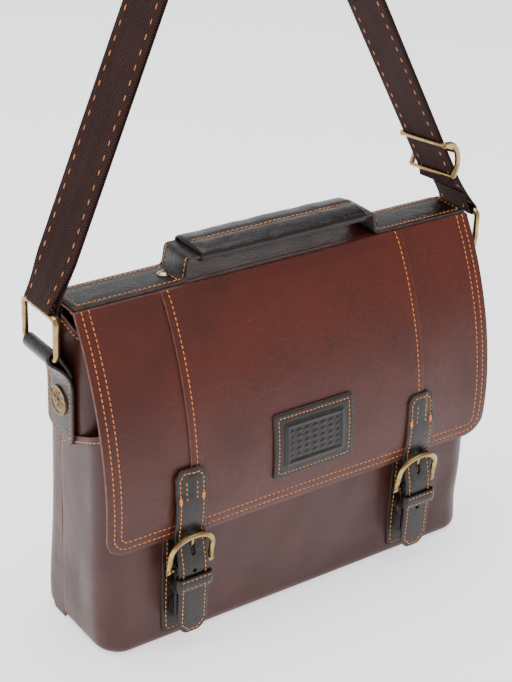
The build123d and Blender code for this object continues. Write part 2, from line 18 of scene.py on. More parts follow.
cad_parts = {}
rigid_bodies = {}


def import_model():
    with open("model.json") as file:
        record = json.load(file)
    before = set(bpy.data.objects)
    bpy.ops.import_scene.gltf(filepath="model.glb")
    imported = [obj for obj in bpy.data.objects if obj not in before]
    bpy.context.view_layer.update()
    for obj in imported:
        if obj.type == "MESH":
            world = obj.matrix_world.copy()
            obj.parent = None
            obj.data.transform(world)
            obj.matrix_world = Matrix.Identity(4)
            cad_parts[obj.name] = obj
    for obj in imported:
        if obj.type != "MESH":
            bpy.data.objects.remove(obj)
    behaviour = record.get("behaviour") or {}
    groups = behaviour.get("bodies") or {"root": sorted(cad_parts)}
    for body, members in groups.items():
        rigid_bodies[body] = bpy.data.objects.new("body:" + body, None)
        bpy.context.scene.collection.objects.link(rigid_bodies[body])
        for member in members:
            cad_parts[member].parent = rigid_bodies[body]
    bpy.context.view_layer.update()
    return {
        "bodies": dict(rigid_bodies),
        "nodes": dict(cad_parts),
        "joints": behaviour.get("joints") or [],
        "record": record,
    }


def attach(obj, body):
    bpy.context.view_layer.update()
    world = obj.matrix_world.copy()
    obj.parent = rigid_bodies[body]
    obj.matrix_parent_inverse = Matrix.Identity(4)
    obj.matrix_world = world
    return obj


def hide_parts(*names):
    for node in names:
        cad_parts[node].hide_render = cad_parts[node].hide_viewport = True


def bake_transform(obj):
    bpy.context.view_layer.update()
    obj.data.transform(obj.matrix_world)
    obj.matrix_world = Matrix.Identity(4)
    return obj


Array = np.ndarray
MM = 0.001
LOG = logging.getLogger("satchel")


# --------------------------------------------------------------------------------------------------------------------
# Mathematics of curves and grids
# --------------------------------------------------------------------------------------------------------------------


def unit(v: Array) -> Array:
    """Vectors of length one, along the last axis."""
    return v / np.maximum(np.linalg.norm(v, axis=-1, keepdims=True), 1e-12)


def smooth(t: Array | float) -> Array:
    """The cubic step: 0 below 0, 1 above 1, level at both ends."""
    t = np.clip(t, 0.0, 1.0)
    return t * t * (3.0 - 2.0 * t)


def spaced(low: float, high: float, step: float, fine: Sequence[tuple[float, float, float]] = ()) -> Array:
    """Values from low to high, closer together around some of them.

    Args:
        low: First value.
        high: Last value.
        step: Usual spacing.
        fine: Places (value, half width, spacing) with their own closer spacing.

    Returns:
        Rising values without doubles.
    """
    values = np.linspace(low, high, max(2, int(round((high - low) / step)) + 1))
    for centre, half, close in fine:
        a, b = max(low, centre - half), min(high, centre + half)
        if b > a:
            values = values[(values <= a - close * 0.5) | (values >= b + close * 0.5)]
            values = np.concatenate([values, np.linspace(a, b, max(2, int(round((b - a) / close)) + 1))])
    return np.unique(np.round(np.concatenate([values, [low, high]]), 4))


@dataclass
class Curve:
    """A line through close points, read by its arc length."""

    points: Array
    s: Array = field(init=False)

    def __post_init__(self) -> None:
        """Adds up the arc length."""
        self.points = np.asarray(self.points, float)
        keep = np.concatenate([[True], np.linalg.norm(np.diff(self.points, axis=0), axis=1) > 1e-6])
        self.points = self.points[keep]
        self.s = np.concatenate([[0.0], np.cumsum(np.linalg.norm(np.diff(self.points, axis=0), axis=1))])

    @property
    def length(self) -> float:
        """Whole arc length."""
        return float(self.s[-1])

    def at(self, s: Array) -> Array:
        """Points at arc lengths s, by linear interpolation."""
        s = np.asarray(s, float)
        return np.stack([np.interp(s, self.s, c) for c in self.points.T], axis=-1)

    def way(self, s: Array, reach: float = 0.8) -> Array:
        """Unit direction at arc lengths s, from points a little before and after."""
        s = np.asarray(s, float)
        return unit(self.at(np.minimum(s + reach, self.length)) - self.at(np.maximum(s - reach, 0.0)))


def through(points: Sequence[Sequence[float]], step: float = 0.6) -> Curve:
    """A smooth curve through points.

    Each run is a cubic whose end slopes are the slopes between the neighbouring points, weighted by the runs' lengths.

    Args:
        points: Points of two or three coordinates.
        step: Distance between the points that it is sampled at.

    Returns:
        The curve.
    """
    p = np.asarray(points, float)
    d = np.linalg.norm(np.diff(p, axis=0), axis=1)
    slope = np.diff(p, axis=0) / d[:, None]
    m = np.empty_like(p)
    m[1:-1] = (slope[:-1] * d[1:, None] + slope[1:] * d[:-1, None]) / (d[:-1] + d[1:])[:, None]
    m[0], m[-1] = slope[0], slope[-1]
    runs = []
    for i in range(len(d)):
        t = np.linspace(0, 1, max(3, int(d[i] / step)))[:, None]
        h = (2 * t**3 - 3 * t**2 + 1, t**3 - 2 * t**2 + t, -2 * t**3 + 3 * t**2, t**3 - t**2)
        runs.append(h[0] * p[i] + h[1] * d[i] * m[i] + h[2] * p[i + 1] + h[3] * d[i] * m[i + 1])
    return Curve(np.concatenate(runs))


def cornered(points: Sequence[Sequence[float]], cuts: Sequence[float], steps: int = 14) -> Curve:
    """Straight runs with each inner corner replaced by a parabola that starts and ends a cut away from it.

    Args:
        points: Corner points.
        cuts: Cut of each inner corner.
        steps: Points on each parabola.

    Returns:
        The curve.
    """
    p = np.asarray(points, float)
    out = [p[:1]]
    t = np.linspace(0, 1, steps)[:, None]
    for i, cut in enumerate(cuts, start=1):
        a = p[i] + unit(p[i - 1] - p[i]) * cut
        b = p[i] + unit(p[i + 1] - p[i]) * cut
        out.append((1 - t) ** 2 * a + 2 * t * (1 - t) * p[i] + t**2 * b)
    out.append(p[-1:])
    line = Curve(np.concatenate(out))
    return Curve(line.at(np.linspace(0, line.length, max(8, int(line.length / 0.8)))))


def grid_normals(p: Array, closed_u: bool = False, closed_v: bool = False) -> Array:
    """Unit normals of a grid of points, as the cross product of its two central differences."""

    def slope(axis: int, closed: bool) -> Array:
        """Differences along one axis, joined end to end when it is closed."""
        return np.roll(p, -1, axis) - np.roll(p, 1, axis) if closed else np.gradient(p, axis=axis)

    return unit(np.cross(slope(0, closed_u), slope(1, closed_v)))


def ripple(x: Array, y: Array, waves: Sequence[tuple[float, float, float, float]]) -> Array:
    """Sum of plane sine waves, each (height, turns per mm in x, in y, phase)."""
    return sum(h * np.sin(2 * np.pi * (a * x + b * y) + c) for h, a, b, c in waves)


def dent(x: Array, y: Array, places: Sequence[tuple[float, float, float, float, float]]) -> Array:
    """Sum of round or oval bell-shaped hollows, each (x, y, half width, half height, depth)."""
    return -sum(d * np.exp(-(((x - a) / w) ** 2) - ((y - b) / h) ** 2) for a, b, w, h, d in places)


def groove(distance: Array, depth: float, width: float) -> Array:
    """Bell-shaped channel: minus the depth where the distance is 0, gone past about two widths."""
    return -depth * np.exp(-((distance / width) ** 2))


# --------------------------------------------------------------------------------------------------------------------
# Meshes
# --------------------------------------------------------------------------------------------------------------------


@dataclass
class Build:
    """Gathers blocks of faces and turns them into one mesh object."""

    name: str
    points: list[Array] = field(default_factory=list)
    faces: list[Array] = field(default_factory=list)
    uvs: list[Array] = field(default_factory=list)
    slots: list[Array] = field(default_factory=list)
    count: int = 0

    def add(self, points: Array, quads: Array, slot: Array | int = 0, uv: Array | None = None) -> "Build":
        """Adds one closed block and turns it so that its faces point outwards.

        The enclosed volume is the sum of the signed tetrahedra between the faces and the origin; where it is negative
        every face is reversed.

        Args:
            points: Vertices (n, 3) in millimetres.
            quads: Vertex numbers (m, 4); a triangle repeats its last number.
            slot: Material number, or one for each face.
            uv: Texture coordinates for each face corner (m, 4, 2).

        Returns:
            This builder.
        """
        a, b, c, d = (points[quads[:, k]] for k in range(4))
        volume = np.einsum("ij,ij->", a, np.cross(b, c)) + np.einsum("ij,ij->", a, np.cross(c, d))
        uv = np.zeros((len(quads), 4, 2)) if uv is None else uv
        if volume < 0:
            quads, uv = quads[:, [1, 0, 3, 2]], uv[:, [1, 0, 3, 2]]
        self.points.append(points)
        self.faces.append(quads + self.count)
        self.uvs.append(uv)
        self.slots.append(np.full(len(quads), slot) if np.isscalar(slot) else slot)
        self.count += len(points)
        return self

    def finish(self, materials: Sequence[bpy.types.Material], flat: float = 38.0) -> bpy.types.Object:
        """Writes the mesh, its UV map and its materials, and links the object.

        Args:
            materials: Materials by slot number.
            flat: Edges sharper than this many degrees stay sharp.

        Returns:
            The object, at the origin.
        """
        quads = np.concatenate(self.faces)
        uv = np.concatenate(self.uvs)
        slot = np.concatenate(self.slots)
        rows = [tuple(dict.fromkeys(q)) for q in quads.tolist()]
        keep = [i for i, r in enumerate(rows) if len(r) > 2]
        mesh = bpy.data.meshes.new(self.name)
        mesh.from_pydata((np.concatenate(self.points) * MM).tolist(), [], [rows[i] for i in keep])
        layer = mesh.uv_layers.new(name="UVMap")
        flat_uv = [uv[i][[list(quads[i]).index(v) for v in rows[i]]] for i in keep]
        layer.data.foreach_set("uv", np.concatenate(flat_uv).astype(np.float32).ravel())
        for m in materials:
            mesh.materials.append(m)
        mesh.polygons.foreach_set("material_index", slot[keep].astype(np.int32))
        mesh.polygons.foreach_set("use_smooth", np.ones(len(keep), bool))
        mesh.update()
        mesh.set_sharp_from_angle(angle=math.radians(flat))
        obj = bpy.data.objects.new(self.name, mesh)
        bpy.context.scene.collection.objects.link(obj)
        return obj

    # -- closed shapes ------------------------------------------------------------------------------------------------

    def wrapped(self, p: Array, closed_u: bool, closed_v: bool, slot: Array | int = 0,
        uv: Array | None = None) -> "Build":
        """Adds a grid of points as quads, joined round in the directions that are closed."""
        nu, nv = p.shape[:2]
        index = np.arange(nu * nv).reshape(nu, nv)
        if closed_u:
            index = np.vstack([index, index[:1]])
        if closed_v:
            index = np.hstack([index, index[:, :1]])
        quads = np.stack([index[:-1, :-1], index[1:, :-1], index[1:, 1:], index[:-1, 1:]], -1).reshape(-1, 4)
        return self.add(p.reshape(-1, 3), quads, slot, uv)

    def capped(self, p: Array, slot: int = 0) -> "Build":
        """Adds a skin of closed loops whose first and last loop are each closed by a fan to their middle.

        Args:
            p: Points, (loops, points round a loop, 3).
            slot: Material slot of every face.

        Returns:
            The same build.
        """
        nu, m = p.shape[:2]
        index = np.hstack([np.arange(nu * m).reshape(nu, m), np.arange(0, nu * m, m)[:, None]])
        quads = np.stack([index[:-1, :-1], index[1:, :-1], index[1:, 1:], index[:-1, 1:]], -1).reshape(-1, 4)
        k = np.arange(m)
        start = np.stack([np.full(m, nu * m), k, (k + 1) % m, (k + 1) % m], -1)
        end = np.stack([np.full(m, nu * m + 1), (nu - 1) * m + (k + 1) % m, (nu - 1) * m + k, (nu - 1) * m + k], -1)
        points = np.concatenate([p.reshape(-1, 3), p[:1].mean(1), p[-1:].mean(1)])
        return self.add(points, np.concatenate([quads, start, end]), slot)

    def slab(self, outer: Array, thickness: float | Array, radius: float, slots: tuple[int, int, int] = (0, 1, 2),
        turn: int = 1) -> "Build":
        """Adds a sheet of material with rounded edges.

        The outer face is the given grid, and the inner face lies a thickness behind it along the grid's normals. Round
        the border both faces step in by the edge radius and are joined by rows of points on two quarter circles.

        Args:
            outer: Points (nu, nv, 3) of the outer face.
            thickness: Thickness, or one for each point.
            radius: Edge radius.
            slots: Material numbers of the outer face, the edge and the inner face.
            turn: 1 if the grid's normals (across u times v) point to the outer side, -1 if not.

        Returns:
            This builder.
        """
        nu, nv = outer.shape[:2]
        n = grid_normals(outer) * turn
        t = np.broadcast_to(np.asarray(thickness, float), (nu, nv))[..., None]
        i, j = np.arange(nu), np.arange(nv)
        row = np.concatenate([i[:-1], np.full(nv - 1, nu - 1), i[:0:-1], np.zeros(nv - 1, int)])
        col = np.concatenate([np.zeros(nu - 1, int), j[:-1], np.full(nu - 1, nv - 1), j[:0:-1]])
        b, nb, tb = outer[row, col], n[row, col], t[row, col]
        along = unit(np.roll(b, -1, 0) - np.roll(b, 1, 0))
        away = unit(np.cross(along, nb))
        inside = outer[np.clip(row, 1, nu - 2), np.clip(col, 1, nv - 2)]
        away *= np.sign(np.einsum("ij,ij->i", away, b - inside))[:, None]
        angles = np.radians([0, 30, 60, 90])
        rings = [b - away * radius * (1 - math.sin(a)) - nb * radius * (1 - math.cos(a)) for a in angles]
        rings += [b - away * radius * (1 - math.sin(a)) - nb * (tb - radius * (1 - math.cos(a))) for a in angles[::-1]]
        front, back = outer.copy(), outer - n * t
        front[row, col], back[row, col] = rings[0], rings[-1]
        total, m = nu * nv, len(row)
        points = np.concatenate([front.reshape(-1, 3), back.reshape(-1, 3), *rings[1:-1]])
        index = np.arange(total).reshape(nu, nv)
        quads = np.stack([index[:-1, :-1], index[1:, :-1], index[1:, 1:], index[:-1, 1:]], -1).reshape(-1, 4)
        border = row * nv + col
        loops = [border] + [2 * total + k * m + np.arange(m) for k in range(len(rings) - 2)] + [border + total]
        rim = [np.stack([a, np.roll(a, -1), np.roll(c, -1), c], -1)[:, ::-1] for a, c in zip(loops[:-1], loops[1:])]
        every = np.concatenate([quads, quads[:, ::-1] + total, *rim])
        lu = np.concatenate([np.zeros((1, nv)), np.cumsum(np.linalg.norm(np.diff(outer, axis=0), axis=2), 0)]) * MM
        lv = np.concatenate([np.zeros((nu, 1)), np.cumsum(np.linalg.norm(np.diff(outer, axis=1), axis=2), 1)], 1) * MM
        uv_points = np.zeros((len(points), 2))
        uv_points[:total] = uv_points[total : 2 * total] = np.stack([lu, lv], -1).reshape(-1, 2)
        for k in range(len(rings) - 2):
            uv_points[2 * total + k * m : 2 * total + (k + 1) * m] = uv_points[border]
        slot = np.concatenate([np.full(len(quads), slots[0]), np.full(len(quads), slots[2]),
            np.full(sum(map(len, rim)), slots[1])])
        return self.add(points, every, slot, uv_points[every])

    def rod(self, path: Array, across: Array, section: Array, closed: bool = False, slot: int = 0,
        scale: Array | None = None) -> "Build":
        """Adds a bar: a closed section carried along a path.

        At each point the section's first coordinate goes along the direction square to the path and to the constant
        vector, and its second along that vector. Open ends are closed by a fan to their middle.

        Args:
            path: Points (n, 3).
            across: Constant vector, or one for each point.
            section: Section points (m, 2), about the path.
            closed: Whether the path returns to its start.
            slot: Material number.
            scale: Size of the section at each point.

        Returns:
            This builder.
        """
        way = np.roll(path, -1, 0) - np.roll(path, 1, 0) if closed else np.gradient(path, axis=0)
        way = unit(way)
        second = unit(np.broadcast_to(np.asarray(across, float), path.shape))
        second = unit(second - way * np.einsum("ij,ij->i", second, way)[:, None])
        first = np.cross(way, second)
        size = np.ones(len(path)) if scale is None else scale
        p = path[:, None] + size[:, None,
            None] * (section[None, :, :1] * first[:, None] + section[None, :, 1:] * second[:, None])
        if closed:
            return self.wrapped(p, True, True, slot)
        return self.capped(p, slot)

    def turned(self, profile: Array, centre: Array, axis: Array, around: int = 40, slot: int = 0,
        relief: Callable[[Array, Array], Array] | None = None) -> "Build":
        """Adds a turned shape: a profile of (radius, height) carried round an axis; both ends lie on the axis.

        Args:
            profile: Points (n, 2) with radius 0 at both ends.
            centre: Point where height is 0.
            axis: Direction of height.
            around: Points round the axis.
            slot: Material number.
            relief: Height added as a function of radius and angle.

        Returns:
            This builder.
        """
        axis = unit(np.asarray(axis, float))
        e = unit(np.cross(axis, [0.3, 0.5, 0.81]))
        f = np.cross(axis, e)
        angle = np.linspace(0, 2 * np.pi, around, endpoint=False)[None]
        r, h = profile[:, :1], profile[:, 1:] + np.zeros_like(angle)
        if relief is not None:
            h = h + relief(r, angle) * (profile[:, 1:] > 1e-6)
        p = centre + r[..., None] * (np.cos(angle)[..., None] * e + np.sin(angle)[..., None] * f) + h[..., None] * axis
        n, m = len(profile), around
        k = np.arange(m)
        points = np.concatenate([p[1:-1].reshape(-1, 3), p[:1, 0], p[-1:, 0]])
        index = np.hstack([np.arange((n - 2) * m).reshape(n - 2, m), np.arange(0, (n - 2) * m, m)[:, None]])
        quads = np.stack([index[:-1, :-1], index[1:, :-1], index[1:, 1:], index[:-1, 1:]], -1).reshape(-1, 4)
        low = (n - 2) * m
        start = np.stack([np.full(m, low), k, (k + 1) % m, (k + 1) % m], -1)
        end = np.stack([np.full(m, low + 1), low - m + (k + 1) % m, low - m + k, low - m + k], -1)
        return self.add(points, np.concatenate([quads, start, end]), slot)

    def stitches(self, points: Array, normals: Array, row: "Stitch") -> "Build":
        """Adds a row of stitches along a line on a surface.

        Each stitch is a short six-sided thread whose height is an arch, highest at its middle and below the surface at
        its ends, turned a little in the surface so that the row looks sewn and not printed.

        Args:
            points: Line (n, 3) on the surface.
            normals: Surface normals there.
            row: Sizes of the stitches.

        Returns:
            This builder.
        """
        line = Curve(points)
        if line.length < row.pitch:
            return self
        full = np.concatenate([[0.0], np.cumsum(np.linalg.norm(np.diff(points, axis=0), axis=1))])
        number = max(1, int(round(line.length / row.pitch)))
        s = (np.arange(number) + 0.5) * line.length / number
        centre, way = line.at(s), line.way(s, row.length / 2)
        up = unit(np.stack([np.interp(s, full, c) for c in normals.T], -1))
        side = unit(np.cross(up, way))
        lean = math.radians(row.slant)
        way, side = way * math.cos(lean) + side * math.sin(lean), side * math.cos(lean) - way * math.sin(lean)
        t = np.array([-1.0, -0.72, 0.0, 0.72, 1.0])
        angle = np.radians(np.arange(6) * 60.0)
        r = row.width / 2 * np.array([0.45, 0.95, 1.08, 0.95, 0.45])
        arch = row.height * (1 - 1.9 * t**4) - row.width * 0.35
        along = np.repeat(t * row.length / 2, 6)
        across = (r[:, None] * np.cos(angle)).ravel()
        lift = (arch[:, None] + r[:, None] * 0.8 * np.sin(angle)).ravel()
        p = centre[:, None] + along[None, :, None] * way[:, None] + across[None, :, None] * side[:, None] + lift[None,
            :, None] * up[:, None]
        index = np.arange(30).reshape(5, 6)
        index = np.hstack([index, index[:, :1]])
        body = np.stack([index[:-1, :-1], index[:-1, 1:], index[1:, 1:], index[1:, :-1]], -1).reshape(-1, 4)
        ends = np.array([[3, 2, 1, 0], [5, 4, 3, 0], [24, 25, 26, 27], [24, 27, 28, 29]])
        one = np.concatenate([body, ends])
        quads = (one[None] + 30 * np.arange(number)[:, None, None]).reshape(-1, 4)
        return self.add(p.reshape(-1, 3), quads)


@dataclass(frozen=True)
class Stitch:
    """Sizes of a row of stitches."""

    pitch: float = 4.3
    length: float = 3.3
    width: float = 0.8
    height: float = 0.42
    slant: float = 5.0


def ellipse(a: float, b: float, n: int = 16, power: float = 2.0) -> Array:
    """Section of a bar: a superellipse of half widths a and b; a higher power is squarer."""
    t = np.linspace(0, 2 * np.pi, n, endpoint=False) + np.pi / n
    c, s = np.cos(t), np.sin(t)
    return np.stack([a * np.sign(c) * np.abs(c) ** (2 / power), b * np.sign(s) * np.abs(s) ** (2 / power)], -1)


def rounded_loop(half_x: float, half_y: float, radius: float, per_corner: int = 8, per_side: int = 8) -> Array:
    """Closed outline of a rectangle with rounded corners, anticlockwise."""
    out = []
    for k, (sx, sy) in enumerate(((1, 1), (-1, 1), (-1, -1), (1, -1))):
        a = np.linspace(k * 90.0, k * 90.0 + 90.0, per_corner)
        centre = np.array([sx * (half_x - radius), sy * (half_y - radius)])
        out.append(centre + radius * np.stack([np.cos(np.radians(a)), np.sin(np.radians(a))], -1))
        nx, ny = ((-1, 1), (-1, -1), (1, -1), (1, 1))[k]
        b0 = out[-1][-1]
        a1 = math.radians(k * 90.0 + 90.0)
        b1 = np.array([nx * (half_x - radius), ny * (half_y - radius)]) + radius * np.array([math.cos(a1),
            math.sin(a1)])
        out.append(b0 + (b1 - b0) * np.linspace(0, 1, per_side + 2)[1:-1, None])
    return np.concatenate(out)


def pierce(obj: bpy.types.Object, cutters: Sequence[bpy.types.Object]) -> None:
    """Cuts holes through a piece with closed cutter shapes, which are removed after.

    Args:
        obj: The piece, with a closed mesh.
        cutters: The shapes to take away.
    """
    for cutter in cutters:
        m = obj.modifiers.new("hole", "BOOLEAN")
        m.operation, m.solver, m.object = "DIFFERENCE", "EXACT", cutter
    graph = bpy.context.evaluated_depsgraph_get()
    mesh = bpy.data.meshes.new_from_object(obj.evaluated_get(graph))
    obj.modifiers.clear()
    obj.data = mesh
    mesh.polygons.foreach_set("use_smooth", np.ones(len(mesh.polygons), bool))
    mesh.set_sharp_from_angle(angle=math.radians(38))
    for cutter in cutters:
        bpy.data.objects.remove(cutter)


def round_cutter(centre: Array, half_a: float, half_b: float, depth: float,
    material: bpy.types.Material) -> bpy.types.Object:
    """A closed round or long cutter along Y, half_a wide in X and half_b high in Z."""
    radius = min(half_a, half_b)
    outline = rounded_loop(half_a, half_b, radius * 0.999, 7, 2)
    path = np.array([[0.0, -depth, 0.0], [0.0, 0.0, 0.0], [0.0, depth, 0.0]]) + centre
    return Build("cutter").rod(path, [0, 0, 1], outline).finish([material])


# --------------------------------------------------------------------------------------------------------------------
# Finishes
# --------------------------------------------------------------------------------------------------------------------

Colour = tuple[float, float, float]


class Nodes:
    """A material's node tree, with short calls for the nodes that the finishes use."""

    def __init__(self, name: str) -> None:
        """Makes the material with its shader and Object coordinates."""
        self.material = bpy.data.materials.new(name)
        self.material.use_nodes = True
        self.tree = self.material.node_tree
        self.shader = next(n for n in self.tree.nodes if n.type == "BSDF_PRINCIPLED")
        self.coords = self.tree.nodes.new("ShaderNodeTexCoord")

    def link(self, a: bpy.types.NodeSocket, b: bpy.types.NodeSocket) -> None:
        """Joins an output to an input."""
        self.tree.links.new(a, b)

    def mapped(self, scale: tuple[float, float, float], uv: bool = False) -> bpy.types.NodeSocket:
        """Object or UV coordinates times a scale."""
        node = self.tree.nodes.new("ShaderNodeMapping")
        node.inputs["Scale"].default_value = scale
        self.link(self.coords.outputs["UV" if uv else "Object"], node.inputs["Vector"])
        return node.outputs["Vector"]

    def noise(self, scale: float, detail: float = 3.0, rough: float = 0.55,
        vector: bpy.types.NodeSocket | None = None, warp: float = 0.0) -> bpy.types.NodeSocket:
        """Fractal noise from 0 to 1."""
        node = self.tree.nodes.new("ShaderNodeTexNoise")
        node.inputs["Scale"].default_value = scale
        node.inputs["Detail"].default_value = detail
        node.inputs["Roughness"].default_value = rough
        node.inputs["Distortion"].default_value = warp
        self.link(vector or self.coords.outputs["Object"], node.inputs["Vector"])
        return node.outputs["Fac"]

    def cells(self, scale: float, edge: bool = False,
        vector: bpy.types.NodeSocket | None = None) -> bpy.types.NodeSocket:
        """Distance to the nearest cell centre, or to the cell's edge."""
        node = self.tree.nodes.new("ShaderNodeTexVoronoi")
        node.feature = "DISTANCE_TO_EDGE" if edge else "F1"
        node.inputs["Scale"].default_value = scale
        self.link(vector or self.coords.outputs["Object"], node.inputs["Vector"])
        return node.outputs["Distance"]

    def ramp(self, value: bpy.types.NodeSocket, low: float, high: float, to_low: float = 0.0,
        to_high: float = 1.0) -> bpy.types.NodeSocket:
        """Maps low..high to to_low..to_high with a smooth step."""
        node = self.tree.nodes.new("ShaderNodeMapRange")
        node.interpolation_type = "SMOOTHSTEP"
        for key, number in (("From Min", low), ("From Max", high), ("To Min", to_low), ("To Max", to_high)):
            node.inputs[key].default_value = number
        self.link(value, node.inputs["Value"])
        return node.outputs["Result"]

    def math(self, kind: str, a: bpy.types.NodeSocket | float,
        b: bpy.types.NodeSocket | float = 0.0) -> bpy.types.NodeSocket:
        """One arithmetic step."""
        node = self.tree.nodes.new("ShaderNodeMath")
        node.operation = kind
        for k, value in enumerate((a, b)):
            if isinstance(value, (int, float)):
                node.inputs[k].default_value = value
            else:
                self.link(value, node.inputs[k])
        return node.outputs["Value"]

    def mix(self, factor: bpy.types.NodeSocket, a: Colour | bpy.types.NodeSocket,
        b: Colour | bpy.types.NodeSocket) -> bpy.types.NodeSocket:
        """Colour a where the factor is 0, b where it is 1."""
        node = self.tree.nodes.new("ShaderNodeMix")
        node.data_type = "RGBA"
        self.link(factor, node.inputs["Factor"])
        for key, value in ((6, a), (7, b)):
            if isinstance(value, tuple):
                node.inputs[key].default_value = (*value, 1.0)
            else:
                self.link(value, node.inputs[key])
        return node.outputs[2]

    def axis(self, name: str, uv: bool = False) -> bpy.types.NodeSocket:
        """One Object or UV coordinate."""
        node = self.tree.nodes.new("ShaderNodeSeparateXYZ")
        self.link(self.coords.outputs["UV" if uv else "Object"], node.inputs["Vector"])
        return node.outputs[name]

    def bump(self, layers: Sequence[tuple[bpy.types.NodeSocket, float]], strength: float = 1.0) -> None:
        """Chains bumps, each (height from 0 to 1, its depth in metres), into the shader's normal."""
        last = None
        for height, depth in layers:
            node = self.tree.nodes.new("ShaderNodeBump")
            node.inputs["Strength"].default_value = strength
            node.inputs["Distance"].default_value = depth
            self.link(height, node.inputs["Height"])
            if last is not None:
                self.link(last, node.inputs["Normal"])
            last = node.outputs["Normal"]
        self.link(last, self.shader.inputs["Normal"])

    def set(self, **values: float) -> None:
        """Sets the shader's own sockets, with _ for the spaces in their names."""
        for key, value in values.items():
            self.shader.inputs[key.replace("_", " ")].default_value = value


@dataclass(frozen=True)
class LeatherFinish:
    """Smooth drum-dyed leather with a waxed surface: cloudy colour, fine pores, small creases, a soft sheen, painted
    light that changes with height and painted shade in the creases.
    """

    name: str
    high: Colour
    low: Colour
    deep: Colour
    heights: tuple[float, float] = (0.12, 0.27)
    roughness: tuple[float, float] = (0.34, 0.5)
    grain: float = 620.0
    grain_depth: float = 0.00006
    crease_depth: float = 0.0002
    coat: float = 0.12
    specular: float = 0.28

    def make(self) -> bpy.types.Material:
        """Painted light changes the colour slowly with height, from the low to the high colour; the darker tone comes
        in clouds at random and as painted shade in the crease valleys; pores and creases are also in the bump.
        """
        n = Nodes(self.name)
        # painted light: the colour ramps with height to stand in for how the light falls on the leather
        tone = n.mix(n.ramp(n.axis("Z"), *self.heights), self.low, self.high)
        clouds = n.noise(11.0, 5.0, 0.6, warp=0.4)
        tone = n.mix(n.ramp(clouds, 0.38, 0.72, 0.0, 0.55), tone, self.deep)
        crease = n.noise(150.0, 4.0, 0.7, n.mapped((1.0, 1.0, 0.8)), 1.2)
        pores = n.cells(self.grain)
        fine = n.noise(2600.0, 2.0, 0.6)
        # painted shade: the darker tone is mixed in where the crease bump is lowest
        tone = n.mix(n.ramp(crease, 0.3, 0.42, 0.35, 0.0), tone, self.deep)
        n.link(tone, n.shader.inputs["Base Color"])
        rough = n.math("ADD", n.ramp(clouds, 0.3, 0.75, *self.roughness), n.ramp(fine, 0.2, 0.8, -0.04, 0.06))
        n.link(rough, n.shader.inputs["Roughness"])
        n.bump([(n.ramp(crease, 0.25, 0.6), self.crease_depth), (pores, self.grain_depth), (fine, 0.00002)])
        n.set(Specular_IOR_Level=self.specular, Coat_Weight=self.coat, Coat_Roughness=0.28)
        return n.material


@dataclass(frozen=True)
class CutEdge:
    """Raw or inked cut edge of leather: fibrous, drier and a little lighter."""

    name: str
    colour: Colour
    deep: Colour

    def make(self) -> bpy.types.Material:
        """Fine noise gives the fibres, coarser noise the uneven ink."""
        n = Nodes(self.name)
        fibres = n.noise(1400.0, 4.0, 0.7)
        n.link(n.mix(n.ramp(n.noise(180.0), 0.3, 0.7), self.colour, self.deep), n.shader.inputs["Base Color"])
        n.link(n.ramp(fibres, 0.2, 0.8, 0.55, 0.85), n.shader.inputs["Roughness"])
        n.bump([(fibres, 0.00012)])
        return n.material


@dataclass(frozen=True)
class Suede:
    """Rough flesh side of leather."""

    name: str
    colour: Colour
    deep: Colour

    def make(self) -> bpy.types.Material:
        """Short nap: fine noise in the bump, clouds in the colour."""
        n = Nodes(self.name)
        nap = n.noise(1700.0, 3.0, 0.7)
        n.link(n.mix(n.ramp(n.noise(45.0), 0.3, 0.7), self.colour, self.deep), n.shader.inputs["Base Color"])
        n.bump([(nap, 0.00015)])
        n.set(Roughness=0.92, Sheen_Weight=0.25)
        return n.material


@dataclass(frozen=True)
class Thread:
    """Waxed thread with its twist."""

    name: str
    colour: Colour
    deep: Colour

    def make(self) -> bpy.types.Material:
        """Fine noise stands for the twist, coarser noise for dye that took unevenly."""
        n = Nodes(self.name)
        twist = n.noise(2400.0, 2.0)
        n.link(n.mix(n.ramp(n.noise(130.0), 0.3, 0.7), self.colour, self.deep), n.shader.inputs["Base Color"])
        n.bump([(twist, 0.0001)])
        n.set(Roughness=0.62, Sheen_Weight=0.1)
        return n.material


@dataclass(frozen=True)
class Metal:
    """Plated metal, brushed smooth, with tarnish in clouds and fine scratches."""

    name: str
    colour: Colour
    tarnish: Colour
    roughness: tuple[float, float] = (0.2, 0.42)
    amount: float = 0.6

    def make(self) -> bpy.types.Material:
        """Tarnish mixes in by clouds; scratches are noise drawn out along one axis."""
        n = Nodes(self.name)
        clouds = n.noise(120.0, 5.0, 0.65)
        scratch = n.noise(900.0, 3.0, 0.6, n.mapped((1.0, 1.0, 0.15)))
        n.link(n.mix(n.ramp(clouds, 0.42, 0.74, 0.0, self.amount), self.colour, self.tarnish),
            n.shader.inputs["Base Color"])
        n.link(n.ramp(clouds, 0.35, 0.75, *self.roughness), n.shader.inputs["Roughness"])
        n.bump([(scratch, 0.00003)])
        n.set(Metallic=1.0)
        return n.material


